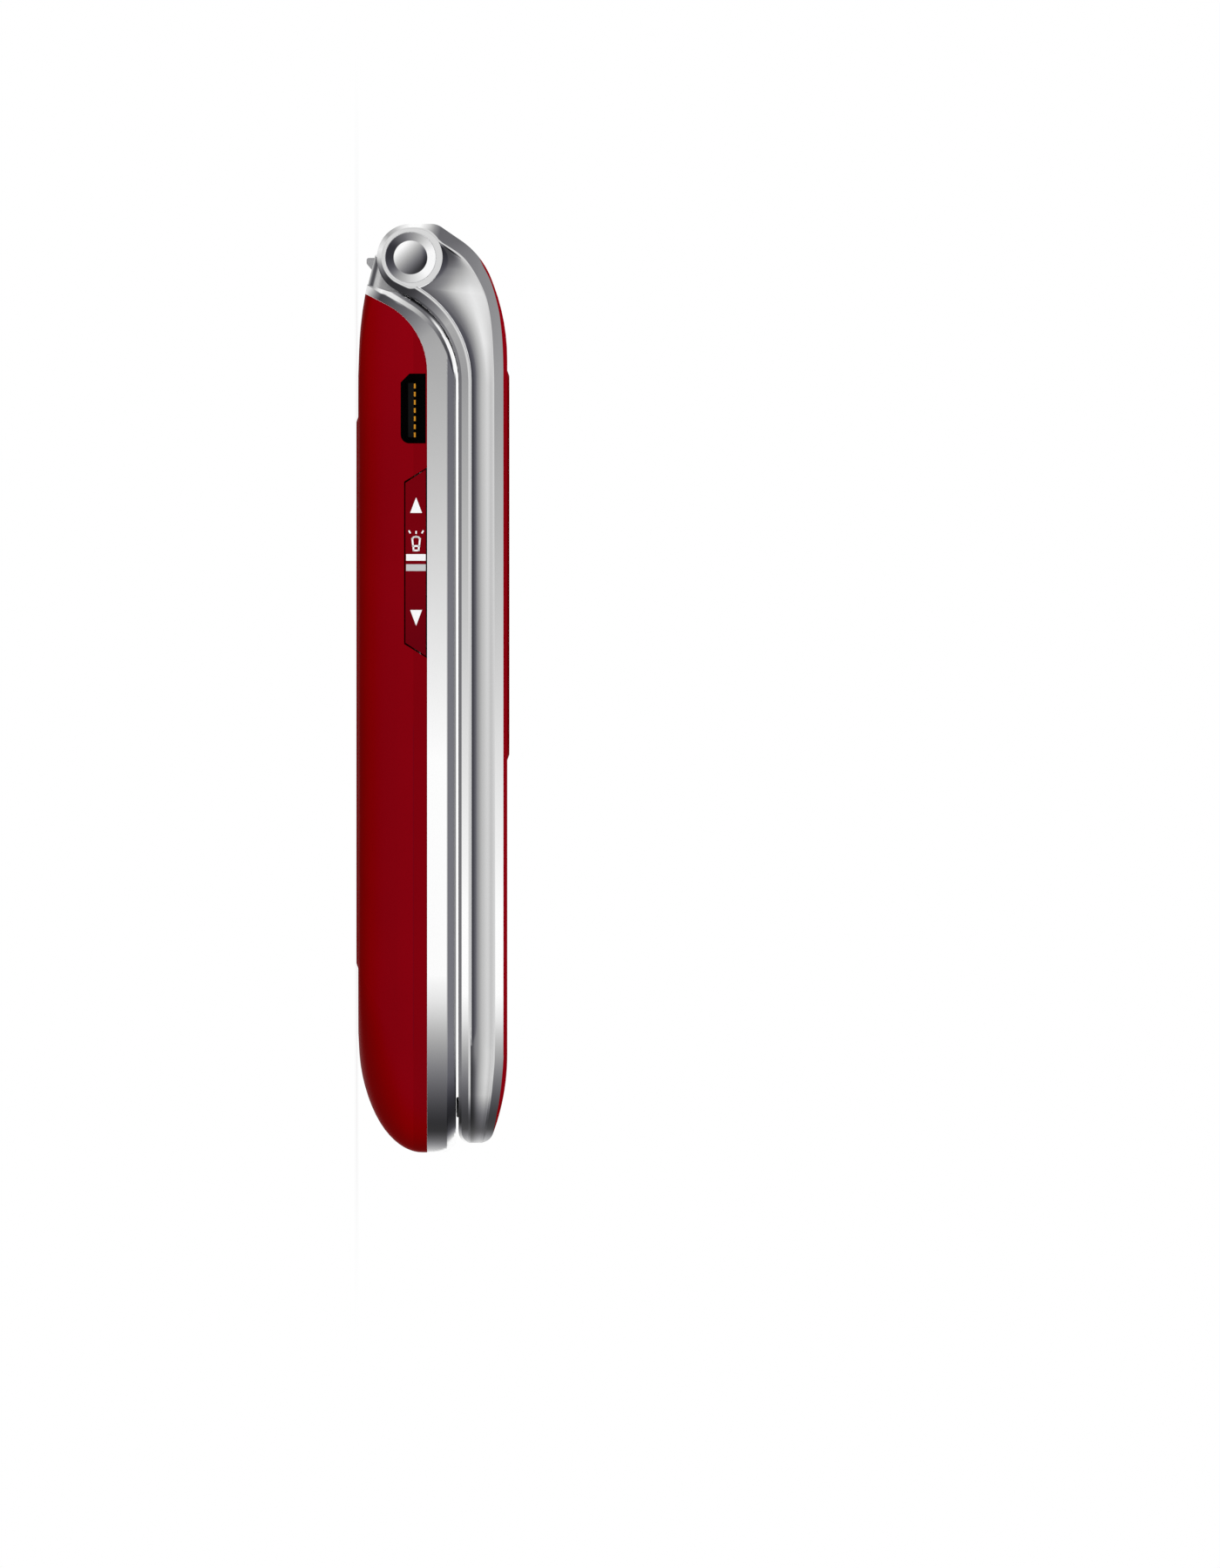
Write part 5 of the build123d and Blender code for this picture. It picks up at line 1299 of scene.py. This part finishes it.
def side_camera(settings):
    """Long lens on the phone's left side, with the hinge at the top of the picture."""
    data = bpy.data.cameras.new("camera")
    data.lens = 1000.0
    data.sensor_width = 36.0
    data.clip_end = 30.0
    camera = linked("camera", data)
    spot = Vector((-settings.distance, 0.0, 0.00865))
    ahead = (Vector((0.0, -0.01081, 0.02875)) - spot).normalized()
    right = ahead.cross(Vector((0, 1, 0))).normalized()
    up = right.cross(ahead)
    turn = Matrix((right, up, -ahead)).transposed().to_4x4()
    camera.matrix_world = Matrix.Translation(spot) @ turn
    bpy.context.scene.camera = camera


# ---------------------------------------------------------------- settings, operators and panel

class FlipPhoneSettings(bpy.types.PropertyGroup):
    """Sizes and colours that a user would change."""

    lacquer: bpy.props.FloatVectorProperty(
        name="Lacquer", description="Red of the housing, cover and rocker", subtype="COLOR", size=3,
        default=linear(135, 3, 16)[:3], min=0.0, max=1.0,
    )
    plating: bpy.props.FloatVectorProperty(
        name="Plating", description="Bright trim of both frames and the hinge", subtype="COLOR", size=3,
        default=(0.86, 0.86, 0.87), min=0.0, max=1.0,
    )
    sky: bpy.props.FloatProperty(
        name="Sky", description="Strength of the even light all round", default=0.62, min=0.0, max=2.0,
    )
    distance: bpy.props.FloatProperty(
        name="Camera distance", description="From the camera to the phone", default=4.945, unit="LENGTH",
        min=1.0, max=10.0,
    )


class Step(bpy.types.Operator):
    """Shared by the operators: runs its make method, which raises an error if it can't finish."""

    def execute(self, context):
        self.make(context.scene.flip_phone)
        return {"FINISHED"}


class FLIPPHONE_OT_finishes(Step):
    """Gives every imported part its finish"""

    bl_idname = "flipphone.finishes"
    bl_label = "Finishes"

    def make(self, settings):
        FINISHES.update(make_finishes(settings))
        dress_nodes(FINISHES)


class FLIPPHONE_OT_lid_faces(Step):
    """Lays the plated strips and hollow on the lid frame"""

    bl_idname = "flipphone.lid_faces"
    bl_label = "Lid faces"

    def make(self, settings):
        lid_skins(FINISHES)
        cap_skins(FINISHES)


class FLIPPHONE_OT_base_faces(Step):
    """Lays the plated strips on the base's trim"""

    bl_idname = "flipphone.base_faces"
    bl_label = "Base faces"

    def make(self, settings):
        trim_skins(FINISHES)


class FLIPPHONE_OT_marks(Step):
    """Prints the marks on the rocker and the keys"""

    bl_idname = "flipphone.marks"
    bl_label = "Printed marks"

    def make(self, settings):
        rocker_marks(FINISHES)
        key_legends(FINISHES)


class FLIPPHONE_OT_small_parts(Step):
    """Sets the key domes, the chips and the earpiece gauze"""

    bl_idname = "flipphone.small_parts"
    bl_label = "Small parts"

    def make(self, settings):
        small_parts(FINISHES)


class FLIPPHONE_OT_stage(Step):
    """Builds the floor, the light and the camera"""

    bl_idname = "flipphone.stage"
    bl_label = "Stage"

    def make(self, settings):
        studio_world(settings)
        pale_floor()
        overhead_card()
        soft_lamp("key lamp", (-0.7, 0.9, 1.0), 0.9, 9.0)
        soft_lamp("fill lamp", (-0.9, -0.7, 0.6), 0.9, 3.0)
        side_camera(settings)
        bpy.context.scene.view_settings.view_transform = "Standard"


class FLIPPHONE_PT_panel(bpy.types.Panel):
    """Lists the steps and their settings"""

    bl_label = "Flip Phone"
    bl_idname = "FLIPPHONE_PT_panel"
    bl_space_type = "VIEW_3D"
    bl_region_type = "UI"
    bl_category = "Flip Phone"

    def draw(self, context):
        for name in FlipPhoneSettings.__annotations__:
            self.layout.prop(context.scene.flip_phone, name)
        for step in STEPS:
            self.layout.operator(step.bl_idname)


FINISHES = {}
STEPS = (
    FLIPPHONE_OT_finishes, FLIPPHONE_OT_lid_faces, FLIPPHONE_OT_base_faces, FLIPPHONE_OT_marks,
    FLIPPHONE_OT_small_parts, FLIPPHONE_OT_stage,
)
CLASSES = (FlipPhoneSettings, *STEPS, FLIPPHONE_PT_panel)


def register():
    for kind in CLASSES:
        bpy.utils.register_class(kind)
    bpy.types.Scene.flip_phone = bpy.props.PointerProperty(type=FlipPhoneSettings)


def unregister():
    del bpy.types.Scene.flip_phone
    for kind in reversed(CLASSES):
        bpy.utils.unregister_class(kind)


def main():
    """Runs every step in order."""
    register()
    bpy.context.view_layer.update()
    for step in STEPS:
        area, name = step.bl_idname.split(".")
        getattr(getattr(bpy.ops, area), name)()
    bpy.context.view_layer.update()
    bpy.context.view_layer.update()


if __name__ == "__main__":
    main()
